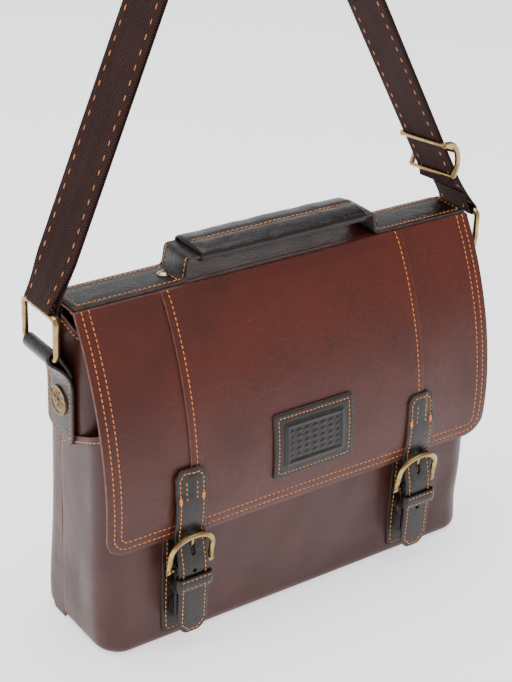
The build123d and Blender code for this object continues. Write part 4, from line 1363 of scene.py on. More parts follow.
@dataclass
class Body:
    """The bag's body: front pocket panel, back panel, gusset wall, lining and base."""

    finishes: Finishes
    half: float = 182.0
    base_half: float = 52.0
    corner: float = 22.0
    leather: float = 2.4
    seam_y: float = 12.0
    belly_radius: float = 1400.0
    belly: tuple[float, float] = (-55.2, 95.0)
    hem_front: float = 199.0
    hem_seam: float = 171.0
    back_top: tuple[float, float] = (33.4, 272.4)
    rim_front: float = 264.0
    wall_low: float = -36.0
    wall_high: float = -24.0
    hem_seam_inset: float = 5.0
    foot_spread: float = 5.0

    def front_y(self, z: Array) -> Array:
        """The front's belly: y on a wide arc about its most forward height, spreading a little towards the foot."""
        cy = self.belly[0] + self.belly_radius
        spread = self.foot_spread * np.clip((self.belly[1] - 50.0 - z) / 45.0, 0.0, 1.0) ** 1.8
        return cy - np.sqrt(self.belly_radius**2 - (z - self.belly[1]) ** 2) - spread

    @staticmethod
    def _plan(half: float, corner: float, face: Array, seam: float, turn: float, across: float = 3.4) -> tuple[Array,
        Array]:
        """Plan of a U-shaped panel for several heights: a side, a rounded corner, the face, a corner and a side.

        Args:
            half: Half the width.
            corner: Corner radius.
            face: y of the face for each height.
            seam: y where the sides end.
            turn: -1 if the face lies in front of the seam, 1 if behind.
            across: Spacing along the face.

        Returns:
            x and y, each (points along the plan, heights).
        """
        depth = np.abs(seam - face) - corner
        side = np.linspace(0, 1, 12)[:-1, None]
        a = np.radians(np.linspace(0, 90, 15))[:, None]
        run = np.arange(half - corner, -(half - corner) - 1e-6, -across)[1:-1, None]
        one = np.ones_like(face)[None]
        x = np.concatenate([half * np.ones_like(side) * one, (half - corner + corner * np.cos(a)) * one])
        y = np.concatenate([seam + turn * side * depth[None], seam + turn * (depth[None] + corner * np.sin(a))])
        return (
            np.concatenate([x, run * one, -x[::-1]]),
            np.concatenate([y, face[None] + 0 * run, y[::-1]]),
        )

    def front(self) -> None:
        """Front pocket panel: a U round the front, its hem falling along the sides, its foot rolled under.

        The height of each column is a share of its own hem height. Soft hollows and swellings are moves along the
        surface's normals.
        """
        share = np.unique(np.concatenate([[0, 0.004, 0.01, 0.018, 0.028, 0.04], np.linspace(0.05, 0.95, 56),
            np.linspace(0.95, 1, 14)]))
        z_rows = self.leather - 1.2 + (self.hem_front - self.leather + 1.2) * share
        face = self.front_y(z_rows)
        x, y = self._plan(self.half, self.corner, face, self.seam_y, -1.0)
        fall = (y - face[None]) / (self.seam_y - face[None])
        low = self.leather - 1.2
        z = low + (z_rows[None] - low) * (1 - fall * (self.hem_front - self.hem_seam) / (self.hem_front - low))
        p = np.stack([x, y, z], -1)
        n = grid_normals(p)
        n = n * np.sign(np.einsum("ijk,ijk->", n, p * [1, 1, 0]))
        u = np.concatenate([[0], np.cumsum(np.linalg.norm(np.diff(p[:, 30, :2], axis=0), axis=1))])[:, None]
        hem = self.hem_front - (self.hem_front - self.hem_seam) * fall - z
        free = smooth((z - 6) / 20) * smooth(hem / 20)
        puff = free * (0.5 + ripple(u, z,
            ((0.5, 1 / 210, 1 / 310, 0.2), (0.3, 1 / 96, -1 / 170, 1.3), (0.16, 1 / 47, 1 / 71, 0.8))))
        front = dent(x, z, ((60, 22, 26, 10, 0.9), (150, 60, 16, 26, 1.2), (166, 28, 12, 16, 1.3),
            (-60, 20, 40, 9, 0.6), (-168, 30, 10, 22, 0.9)))
        side = dent(y, z, ((-14, 60, 9, 40, 0.8), (-22, 130, 10, 30, 0.6)))
        puff = puff + free * np.where(np.abs(x) > self.half - 2, side, front)
        patch = smooth((np.abs(np.abs(x) - 113.0) - 24.0) / 12.0)
        puff = puff * np.where(np.abs(x) < self.half - self.corner, patch, 1.0)
        puff = puff + groove(hem - self.hem_seam_inset, 0.35, 0.9) - 0.35 * (1 - smooth(hem / 3.5))
        roll = np.maximum(7.5 - (z - low), 0.0)
        puff = puff - (7.5 - np.sqrt(np.maximum(7.5**2 - roll**2, 0.0)))
        p = p + n * puff[..., None]
        build = Build("front_pocket_leather").slab(p, self.leather - 0.1, 0.6, turn=self._sign(p))
        place(build.finish(self.finishes.body_sheet), "bag", Slot.BROWN, "front_panel")
        cut = hem.shape[1] - 1
        near = np.argmin(np.abs(hem - self.hem_seam_inset), axis=1)
        rows = np.arange(len(near))
        line = p[rows, np.minimum(near, cut)]
        line[:, 2] = (hem + z)[:, 0] - self.hem_seam_inset
        seam = Build("pocket_hem_stitches").stitches(line + n[rows, near] * 0.3, n[rows, near], Stitch())
        place(seam.finish([self.finishes.thread]), "bag", Slot.BROWN)

    @staticmethod
    def _sign(p: Array) -> int:
        """1 if a U-shaped grid's normals point away from the middle of the bag."""
        n = grid_normals(p)
        return 1 if float(np.sum(n * (p - p.mean((0, 1))) * [1, 1, 0])) > 0 else -1

    def back(self) -> None:
        """Back panel: straight lean from the base to the top edge, with rounded corners and soft swelling."""
        rise = (self.back_top[1] - self.rim_front) / (self.back_top[0] - self.wall_high)
        rim = self.rim_front + rise * (self.seam_y - self.wall_high)
        low = self.leather - 1.2
        share = np.unique(np.concatenate([[0, 0.004, 0.01, 0.018, 0.028], np.linspace(0.04, 1, 70)]))
        z_rows = low + (self.back_top[1] - 0.4 - low) * share
        face = self.base_half - (self.base_half - self.back_top[0]) * (z_rows - self.leather) / (self.back_top[1] - self.leather)
        x, y = self._plan(self.half, self.corner, face, self.seam_y + 0.25, 1.0)
        rows = (y - self.seam_y) / (face[None] - self.seam_y)
        z = low + (z_rows[None] - low) * (1 - (1 - rows) * (self.back_top[1] - rim) / (self.back_top[1] - low))
        p = np.stack([x, y, z], -1)
        n = grid_normals(p) * self._sign(p)
        free = smooth((z - 6) / 20) * smooth((268 - z) / 40)
        puff = free * (0.4 + ripple(x, z, ((0.6, 1 / 240, 1 / 330, 1.2), (0.3, 1 / 110, -1 / 150, 0.3))))
        roll = np.maximum(7.5 - (z - low), 0.0)
        puff = puff - (7.5 - np.sqrt(np.maximum(7.5**2 - roll**2, 0.0)))
        tab = smooth((np.abs(y - 8.0) - 20.0) / 8.0)
        p = p + n * (puff * np.where(np.abs(x) > self.half - 1, tab, 1.0))[..., None]
        build = Build("back_leather").slab(p, self.leather - 0.1, 0.6, turn=self._sign(p))
        place(build.finish(self.finishes.body_sheet), "bag", Slot.BROWN, "back_panel")

    def gusset(self) -> None:
        """Gusset wall of the main compartment, with a hemmed and stitched rim."""
        low = 4.6
        share = np.unique(np.concatenate([np.linspace(0, 0.94, 40), np.linspace(0.94, 1, 14)]))
        z_rows = low + (self.rim_front - low) * share
        face = self.wall_low + (self.wall_high - self.wall_low) * (z_rows - 4.4) / (self.rim_front - 4.4)
        half = self.half - self.leather - 0.05
        x, y = self._plan(half, 18.0, face, self.seam_y, -1.0)
        rise = 0.2345 * (self.seam_y - self.wall_high)
        back = (y - face[None]) / (self.seam_y - face[None])
        z = low + (z_rows[None] - low) * (1 + back * rise / (self.rim_front - low))
        p = np.stack([x, y, z], -1)
        n = grid_normals(p) * self._sign(p)
        top = self.rim_front + back * rise - z
        puff = smooth((z - 175) / 30) * smooth(top / 25) * (0.5 + ripple(x + y, z, ((0.4, 1 / 90, 1 / 140, 0.5),)))
        puff = puff * smooth((np.abs(y - 8.0) - 14.0) / 10.0)
        puff = puff + groove(top - 4.5, 0.3, 0.8) - 0.3 * (1 - smooth(top / 3.0))
        p = p + n * puff[..., None]
        build = Build("gusset_leather").slab(p, 1.75, 0.5, turn=self._sign(p))
        place(build.finish(self.finishes.body_sheet), "bag", Slot.BROWN, "main_wall")
        near = np.argmin(np.abs(top - 4.5), axis=1)
        rows = np.arange(len(near))
        seam = Build("gusset_rim_stitches").stitches(p[rows, near] + n[rows, near] * 0.15, n[rows, near], Stitch())
        place(seam.finish([self.finishes.thread]), "bag", Slot.BROWN)

    def inside(self) -> None:
        """Lining: one cup, its outer face and its inner face joined over the rim."""
        low, inset = 5.2, 0.35
        wall = self.leather + 1.8 + 0.45
        rings = []
        for offset, start, order in ((0.0, low, 1), (0.6, low + 0.7, -1)):
            rows = [0.02, 0.35, 0.7, 0.93, 1.0]
            loops = []
            for share in np.concatenate([np.array(rows) - 1.0, np.linspace(0.001, 1, 30)]):
                h = max(share, 0.0)
                z = start + (self.rim_front - 1.5 - start) * h
                front = self.wall_low + (self.wall_high - self.wall_low) * (z - 4.4) / 259.6 + 2.25 + offset
                rear = self.base_half - (self.base_half - self.back_top[0]) * (z - 2.4) / 270.0 - self.leather - 0.5 - offset
                middle, half_y = (front + rear) / 2, (rear - front) / 2
                loop = rounded_loop(self.half - wall - inset - offset, half_y, 19.0, 10, 30)
                loop = loop * (1.0 if share >= 0 else 1.0 + share)
                y = loop[:, 1] + middle
                extra = np.clip((y - front) / (rear - front), 0, 1) * 8.0 * h
                loops.append(np.stack([loop[:, 0], y, z + extra], -1))
            rings += loops if order == 1 else loops[::-1]
        p = np.stack(rings)
        build = Build("main_lining").capped(p)
        place(build.finish([self.finishes.lining]), "bag", Slot.LINING, "lining")

    def base(self) -> None:
        """Base leather: a flat plate with rounded edges, resting on the floor; the board inside is a kept CAD node."""
        radius = self.corner - 3.0
        half_x, half_y = self.half - 3.2, self.base_half - 3.2
        levels = [(0.02, 0.0), (0.4, 0.0), (0.8, 0.0), (0.97, 0.0), (0.992, 0.25), (1.0, 1.1), (0.992, 2.0),
            (0.97, 2.3), (0.8, 2.35), (0.4, 2.35), (0.02, 2.35)]
        outline = rounded_loop(half_x, half_y, radius, 12, 24)
        p = np.stack([np.column_stack([outline * share, np.full(len(outline), z)]) for share, z in levels])
        build = Build("base_leather").capped(p)
        place(build.finish([self.finishes.body]), "bag", Slot.BROWN, "base_panel")

    def build(self) -> None:
        """Makes the whole body."""
        self.front()
        self.back()
        self.gusset()
        self.inside()
        self.base()


# --------------------------------------------------------------------------------------------------------------------
# Closures
# --------------------------------------------------------------------------------------------------------------------


@dataclass
class Closure:
    """One closure: body patch, billet, keeper, doubled chape, buckle frame and prong."""

    side: int
    shape: FlapShape
    body: Body
    finishes: Finishes
    hole_z: float
    x: float
    half: float = 13.5
    thickness: float = 2.6
    tip: float = 14.0
    bar: tuple[float, float] = (-66.5, 74.0)
    lean: tuple[float, float] = (-6.1, 33.0)
    frame_half: float = 18.8
    frame_reach: float = 29.8
    slot_z: float = 91.5

    @property
    def name(self) -> str:
        """left or right."""
        return "left" if self.side < 0 else "right"

    def _route(self) -> Curve:
        """Middle line of the billet (y, z): on the flap's face, then free, bowing out over the buckle's bar."""
        f = self.shape
        rise = f.lap_thickness + self.thickness / 2
        on = [tuple(f.face(np.array([z]), rise + 0.05)[0]) for z in (160.0, 154.0, 148.0, 142.0, 136.5)]
        off = [tuple(f.face(np.array([z]), rise + 0.5)[0]) for z in (129.0, 117.0, 104.0)]
        return through([*on, *off, (-69.0, 90), (-72.1, 76), (-72.3, 63), (-72.2, 50), (-70.8, self.tip)])

    def billet(self) -> None:
        """The billet strap: columns end on the chamfered top and the pointed tip; its outer half sinks over the lap."""
        line = self._route()
        w = spaced(-self.half, self.half, 1.5, [(side * 9.9, 3.6, 0.5) for side in (-1, 1)])
        over = np.maximum(np.abs(w) - 8.0, 0.0)
        head = 6.0 * (over / 5.5) ** 1.6
        over = np.maximum(np.abs(w) - 4.5, 0.0)
        point = 8.5 * (over / 9.0) ** 1.7
        v = np.linspace(0, 1, 130)
        s = head[:, None] + (line.length - head - point)[:, None] * v[None]
        gw = np.broadcast_to(w[:, None], s.shape)
        gx = self.side * self.x + gw
        way = line.way(s, 1.2)
        n = np.stack([way[..., 1], -way[..., 0]], -1)
        at = line.at(s)
        rim = np.minimum(np.minimum(self.half - np.abs(gw), s - head[:, None] + 0.0),
            (line.length - point)[:, None] - s)
        sunk = 1.15 * smooth((np.abs(gx) - self.shape.lap_x + 0.5) / 3.5) * smooth((at[..., 1] - 134.0) / 8.0)
        lift = self.thickness / 2 + groove(rim - 3.4, 0.3,
            0.6) - 0.3 * (1 - smooth(rim / 2.4)) + 0.2 * smooth((rim - 4.5) / 4) - sunk
        yz = at + n * lift[..., None]
        grid = np.concatenate([gx[..., None], yz], -1)
        strap = Build(f"{self.name}_billet_strap").slab(grid, self.thickness - 0.05, 0.6, turn=-1)
        obj = strap.finish(self.finishes.dark_sheet)
        pierce(obj, [
            round_cutter(np.array([self.side * self.x, -72.0, self.hole_z]), 1.8, 1.8, 8.0, self.finishes.dark_edge),
            round_cutter(np.array([self.side * self.x, -69.0, self.slot_z]), 2.1, 6.0, 8.0, self.finishes.dark_edge),
        ])
        bend(obj, ("flap_front", f"{self.name}_closure"), (0, -0.067, 0.1375), (0, -0.067, 0.128), Slot.DARK,
            f"{self.name}_billet", f"{self.name}_billet_top")
        seam = Build(f"{self.name}_billet_stitches")

        def sew(ws: Array, ss: Array, row: Stitch) -> None:
            """One row of stitches on the strap's outer face, by distance across and along."""
            d = line.way(ss, 1.2)
            normal = np.stack([d[:, 1], -d[:, 0]], -1)
            q = line.at(ss)
            xs = self.side * self.x + ws
            low = 1.15 * smooth((np.abs(xs) - self.shape.lap_x + 0.5) / 3.5) * smooth((q[:, 1] - 134.0) / 8.0)
            q = q + normal * (self.thickness / 2 + 0.05 - low)[:, None]
            seam.stitches(np.column_stack([xs, q]), np.column_stack([np.zeros(len(q)), normal]), row)

        inset = 3.5
        edge = self.half - inset
        end = line.length
        thin = Stitch(3.9, 3.0, 0.78)
        u = np.arange(7.5, end - 10.0, 1.0)
        for side in (-1, 1):
            sew(np.full(len(u), side * edge), u, thin)
        top = np.array([[-edge, 7.5], [-6.6, inset], [6.6, inset], [edge, 7.5]])
        sew(*Curve(top).at(np.arange(0, Curve(top).length, 0.8)).T, thin)
        tip = np.array([[-edge, end - 10.0], [-4.0, end - inset], [4.0, end - inset], [edge, end - 10.0]])
        sew(*Curve(tip).at(np.arange(0, Curve(tip).length, 0.8)).T, thin)
        u = np.arange(10.0, 28.0, 1.0)
        for side in (-1, 1):
            sew(np.full(len(u), side * 4.4), u, thin)
            for step in range(6):
                across = np.linspace(edge - 1.7, edge + 1.7, 8) * side
                sew(across, np.full(8, 23.0 + step * 0.85), Stitch(3.4, 3.4, 0.85, 0.6, 0.0))
        bend(seam.finish([self.finishes.thread]), ("flap_front", f"{self.name}_closure"), (0, -0.067, 0.1375),
            (0, -0.067, 0.128), Slot.DARK)

    def patch(self) -> None:
        """Dark patch on the front panel, behind the buckle, stitched round."""
        w = spaced(-20.0, 20.0, 1.6, [(side * 16.5, 3.6, 0.6) for side in (-1, 1)])
        near = np.maximum(np.abs(w) - 15.0, 0)
        cut = 5.0 - np.sqrt(np.maximum(25.0 - near**2, 0))
        z = 56.5 + (47.3 - cut)[:, None] * np.linspace(-1, 1, 74)[None]
        gw = np.broadcast_to(w[:, None], z.shape)
        rim = np.minimum(20.0 - np.abs(gw), 47.5 - np.abs(z - 56.5))
        y = self.body.front_y(z) - 1.95 - groove(rim - 3.6, 0.3, 0.7) + 0.3 * (1 - smooth(rim / 2.6))
        grid = np.stack([self.side * 113.0 + gw, y, z], -1)
        build = Build(f"{self.name}_patch_leather").slab(grid, 1.8, 0.5, turn=1)
        place(build.finish(self.finishes.dark_sheet), "bag", Slot.DARK, f"{self.name}_patch")
        loop = rounded_loop(16.4, 43.9, 3.0, 6, 60)
        p = np.column_stack([self.side * 113.0 + loop[:, 0], self.body.front_y(56.5 + loop[:, 1]) - 1.85,
            56.5 + loop[:, 1]])
        seam = Build(f"{self.name}_patch_stitches").stitches(p, np.broadcast_to([0.0, -1.0, 0.0], p.shape), Stitch())
        place(seam.finish([self.finishes.thread]), "bag", Slot.DARK)

    def chape(self) -> None:
        """Chape: one strap folded round the buckle's bar, with a slot where the prong sits."""
        y, z = self.bar
        gap, r = 0.87, 3.15
        line = through([(y + gap, 32.0), (y + gap, 50.0), (y + gap, 67.0), (y + 2.4, 71.4), (y + r, z),
            (y + 2.2, z + 2.2), (y, z + r), (y - 2.2, z + 2.2), (y - r, z), (y - 2.4, 71.4), (y - gap, 67.0),
                (y - gap, 50.0), (y - gap, 32.0)], 0.4)
        w = spaced(-13.0, 13.0, 1.6, [(side * 11.0, 2.0, 0.5) for side in (-1, 1)])
        s = np.broadcast_to(np.linspace(0, line.length, 120)[None], (len(w), 120))
        way = line.way(s, 0.5)
        n = np.stack([-way[..., 1], way[..., 0]], -1)
        yz = line.at(s) - n * 0.8
        grid = np.concatenate([(self.side * self.x + np.broadcast_to(w[:, None], s.shape))[..., None], yz], -1)
        centre = np.array([self.side * self.x, y, z])
        turn = 1 if float(np.sum(grid_normals(grid)[:, 50:70] * (grid[:, 50:70] - centre))) > 0 else -1
        build = Build(f"{self.name}_chape_leather").slab(grid, 1.6, 0.45, turn=turn)
        obj = build.finish(self.finishes.dark_sheet)
        pierce(obj, [round_cutter(centre + np.array([0, 0, 1.0]), 2.3, 6.0, 9.0, self.finishes.dark_edge)])
        place(obj, f"{self.name}_closure", Slot.DARK, f"{self.name}_chape")

    def keeper(self) -> None:
        """Keeper: a bulging band round the strap, a closed loop with an inner and an outer face."""
        loop = rounded_loop(15.1, 3.2, 2.4, 8, 14)
        v = np.linspace(-1, 1, 17)
        bulge = 0.75 * (1 - v**2) - 0.35 * (np.abs(v) > 0.93)
        bulge = bulge - 0.22 * (np.exp(-(((v - 0.62) / 0.1) ** 2)) + np.exp(-(((v + 0.62) / 0.1) ** 2)))
        normal = unit(np.stack([np.roll(loop[:, 1], -1) - np.roll(loop[:, 1], 1),
            np.roll(loop[:, 0], 1) - np.roll(loop[:, 0], -1)], -1))
        z = 63.0 + v * 5.8
        def face(push: Array) -> Array:
            """The loop moved outwards, at every height."""
            q = loop[None] + normal[None] * push[:, None, None]
            return np.stack([self.side * self.x + q[..., 0], -72.35 + q[..., 1],
                np.broadcast_to(z[:, None], q.shape[:2])], -1)
        ring = np.concatenate([face(0.75 + bulge), face(np.full(17, -0.8))[::-1]])
        build = Build(f"{self.name}_keeper_loop").wrapped(ring, True, True)
        place(build.finish([self.finishes.dark]), f"{self.name}_closure", Slot.DARK, f"{self.name}_keeper")
        seam = Build(f"{self.name}_keeper_stitches")
        for share in (-0.62, 0.62):
            xs = np.linspace(-13.4, 13.4, 40)
            p = np.column_stack([self.side * self.x + xs,
                np.full(40, -72.35 - 3.2 - 0.75 - 0.75 * (1 - share**2) + 0.3), np.full(40, 63.0 + share * 5.8)])
            seam.stitches(p, np.broadcast_to([0.0, -1.0, 0.0], p.shape), Stitch(3.6, 2.8, 0.7))
        place(seam.finish([self.finishes.thread]), f"{self.name}_closure", Slot.DARK)

    def _lean(self) -> tuple[Array, Array]:
        """Unit direction from the bar to the curved end, and the frame's outward normal."""
        up = unit(np.array([0.0, *self.lean]))
        return up, np.array([0.0, -up[2], up[1]])

    def buckle(self) -> None:
        """Buckle: a faceted D carried along its outline, feet round the bar's ends, and the bar with the prong."""
        up, out = self._lean()
        origin = np.array([self.side * self.x, *self.bar])
        a = np.radians(np.linspace(180, 0, 41))
        straight = np.array([[-self.frame_half, -2.0], [-self.frame_half, 4.0], [-self.frame_half, 10.0]])
        arc = np.stack([self.frame_half * np.cos(a), 14.5 + (self.frame_reach - 14.5) * np.sin(a) ** 0.92], -1)
        flat = np.concatenate([straight, arc, straight[::-1] * [-1, 1]])
        flat = Curve(flat).at(np.linspace(0, Curve(flat).length, 90))
        path = origin + flat[:, :1] * np.array([1.0, 0, 0]) + flat[:, 1:] * up
        section = np.array([[-2.15, -0.75], [-2.15, 0.25], [-1.75, 0.85], [-0.6, 1.6], [0.6, 1.6], [1.75, 0.85],
            [2.15, 0.25], [2.15, -0.75], [1.3, -1.5], [-1.3, -1.5]]) * [1.18, 1.1]
        build = Build(f"{self.name}_buckle").rod(path, out, section)
        for sign in (-1, 1):
            ball = np.array([[0, -2.9], [1.3, -2.7], [2.1, -1.7], [2.5, 0.0], [2.1, 1.7], [1.3, 2.7], [0, 2.9]])
            fine = Curve(ball)
            build.turned(fine.at(np.linspace(0, fine.length, 15)), origin + [sign * self.frame_half, 0, 0],
                np.array([1.0, 0, 0]), 24)
        bar = np.linspace(-self.frame_half, self.frame_half, 14)[:, None] * np.array([1.0, 0, 0]) + origin
        build.rod(bar, [0, 0, 1], ellipse(2.0, 2.0, 20))
        place(build.finish([self.finishes.brass], 28.0), f"{self.name}_buckle", Slot.BRASS, f"{self.name}_buckle_frame")

    def prong(self) -> None:
        """Prong: a tapering bar from its loop on the bar, through the strap's slot, hooked over the curved end."""
        line = cornered([(-65.9, 76.6), (-64.4, 88.5), (-69.4, 94.5), (-70.5, 101.2)], (2.4, 2.2))
        s = np.linspace(0, line.length, 40)
        yz = line.at(s)
        path = np.column_stack([np.full(40, self.side * self.x), yz])
        t = s / line.length
        size = (1.0 - 0.3 * t) * np.sqrt(np.clip(1 - ((t - 0.93) / 0.07) ** 2, 0.12, 1)) ** (t > 0.93)
        build = Build(f"{self.name}_prong_hook").rod(path, [1, 0, 0], ellipse(1.0, 1.55, 16, 2.6), scale=size)
        angle = np.linspace(0, 2 * np.pi, 33)[:-1]
        ring = np.column_stack([np.full(32, self.side * self.x), self.bar[0] + 3.0 * np.cos(angle),
            self.bar[1] + 3.0 * np.sin(angle)])
        build.rod(ring, [1, 0, 0], ellipse(0.65, 1.6, 12, 3.0), closed=True)
        place(build.finish([self.finishes.brass]), f"{self.name}_prong", Slot.BRASS, f"{self.name}_prong")

    def build(self) -> None:
        """Makes the whole closure."""
        self.patch()
        self.billet()
        self.chape()
        self.keeper()
        self.buckle()
        self.prong()


# --------------------------------------------------------------------------------------------------------------------
# Side tabs, rings and shoulder strap
# --------------------------------------------------------------------------------------------------------------------


@dataclass
class SideTab:
    """One side tab: leather stitched to the body, looped round the ring's lower bar, with a round medallion."""

    side: int
    finishes: Finishes
    y: float = 8.0
    width: float = 39.0
    medallion_z: float = 204.0
    ring_x: float = 198.5
    ring_z: float = 267.0
    ring_half: tuple[float, float] = (23.6, 16.6)

    @property
    def name(self) -> str:
        """left or right."""
        return "left" if self.side < 0 else "right"

    def _route(self) -> Curve:
        """Middle line (x, z) of the tab on the right-hand side, from its lower end round the bar and back down."""
        on = [(183.35, 166.0), (183.35, 190.0), (183.35, 214.0), (183.7, 223.0)]
        out = [(186.3, 231.0), (191.2, 237.4), (198.0, 243.4), (202.0, 247.4), (202.8, 251.6), (200.4, 254.8),
            (196.6, 254.6)]
        back = [(193.9, 250.6), (190.6, 244.4), (186.6, 237.6), (183.6, 230.4)]
        return through([*on, *out, *back], 0.5)

    def leather(self) -> None:
        """The tab's strap: its lower end slants, lowest near the front edge, with rounded corners."""
        line = self._route()
        half = self.width / 2
        w = spaced(-half, half, 1.8, [(side * (half - 3.2), 3.3, 0.55) for side in (-1, 1)])
        foot = np.interp(w, [-19.5, -18.4, -15.5, -9.0, 0.0, 10.0, 16.5, 18.8, 19.5],
            [15.0, 9.5, 6.2, 5.4, 6.6, 9.6, 12.8, 15.4, 19.0])
        v = np.unique(np.concatenate([np.linspace(0, 0.08, 12), np.linspace(0.08, 1, 100)]))
        s = foot[:, None] + (line.length - foot)[:, None] * v[None]
        gw = np.broadcast_to(w[:, None], s.shape) * (1 - 0.045 * smooth((s - 62) / 14))
        way = line.way(s, 0.9)
        n = np.stack([way[..., 1], -way[..., 0]], -1)
        rim = np.minimum(half - np.abs(gw), s - foot[:, None])
        sewn = 1 - smooth((s - 54) / 6)
        lift = 1.1 + sewn * groove(rim - 3.5, 0.3,
            0.65) - 0.3 * (1 - smooth(rim / 2.4)) * sewn + 0.25 * smooth((rim - 5) / 6) * sewn
        xz = line.at(s) + n * lift[..., None]
        grid = np.stack([self.side * xz[..., 0], self.y + gw, xz[..., 1]], -1)
        build = Build(f"{self.name}_tab_leather").slab(grid, 2.15, 0.6, turn=self.side)
        obj = build.finish(self.finishes.dark_sheet)
        bend(obj, ("bag", "strap"), (0, 0.008, 0.224), (0, 0.008, 0.240), Slot.DARK, f"{self.name}_tab",
            f"{self.name}_tab_loop")
        inset = 3.5
        edge = half - inset
        up = np.arange(58.0, 17.0, -1.0)
        low_w = np.linspace(-edge, edge, 50)
        low_s = np.interp(low_w, w, foot) + inset + 1.2
        ws = np.concatenate([np.full(len(up), -edge), low_w, np.full(len(up), edge)])
        ss = np.concatenate([up, low_s, up[::-1]])
        top = np.linspace(edge, -edge, 40)
        ws, ss = np.concatenate([ws, top]), np.concatenate([ss, np.full(40, 58.0)])
        d = line.way(ss, 0.9)
        normal = np.stack([d[:, 1], -d[:, 0]], -1)
        q = line.at(ss) + normal * 1.05
        p = np.column_stack([self.side * q[:, 0], self.y + ws, q[:, 1]])
        up_n = np.column_stack([self.side * normal[:, 0], np.zeros(len(q)), normal[:, 1]])
        seam = Build(f"{self.name}_tab_stitches").stitches(p, up_n, Stitch(3.9, 3.0, 0.78))
        place(seam.finish([self.finishes.thread]), "bag", Slot.DARK)

    def medallion(self) -> None:
        """Round relief: a beaded rim, and a rosette of eight petals inside, its height a wave of the angle."""
        r = np.concatenate([np.linspace(0, 11.4, 44), np.linspace(11.5, 12.0, 5)])

        def relief(radius: Array, angle: Array) -> Array:
            """Rim, beads, petals and a boss, by radius and angle."""
            rim = 0.75 * smooth((1.1 - np.abs(radius - 11.1)) / 0.6)
            beads = 0.4 * smooth((0.75 - np.abs(radius - 9.3)) / 0.5) * (0.5 + 0.5 * np.cos(28 * angle))
            petal = 0.8 * smooth((np.cos(4 * angle) ** 2 - 0.32) / 0.4) * smooth((2.3 - np.abs(radius - 5.6)) / 1.2)
            return rim + beads + petal + 0.8 * smooth((2.1 - radius) / 0.9)

        profile = np.column_stack([np.concatenate([r, [12.0, 0.0]]),
            np.concatenate([np.full(len(r) - 1, 0.85), [0.6], [0.0, 0.0]])])
        centre = np.array([self.side * 184.55, self.y, self.medallion_z])
        build = Build(f"{self.name}_medallion_disc").turned(profile, centre, np.array([self.side * 1.0, 0, 0]), 112,
            relief=relief)
        place(build.finish([self.finishes.bronze], 60.0), "bag", Slot.BRASS, f"{self.name}_medallion")

    def ring(self) -> None:
        """Rectangular ring: a flat-rounded bar carried round a rectangle with round corners."""
        loop = rounded_loop(*self.ring_half, 5.2, 12, 14)
        path = np.column_stack([np.full(len(loop), self.side * self.ring_x), self.y + loop[:, 0],
            self.ring_z + loop[:, 1]])
        build = Build(f"{self.name}_ring_bar").rod(path, [1, 0, 0], ellipse(2.25, 2.25, 20, 2.5), closed=True)
        place(build.finish([self.finishes.brass]), "strap", Slot.BRASS, f"{self.name}_ring")

    def build(self) -> None:
        """Makes the tab, its medallion and its ring."""
        self.leather()
        self.medallion()
        self.ring()


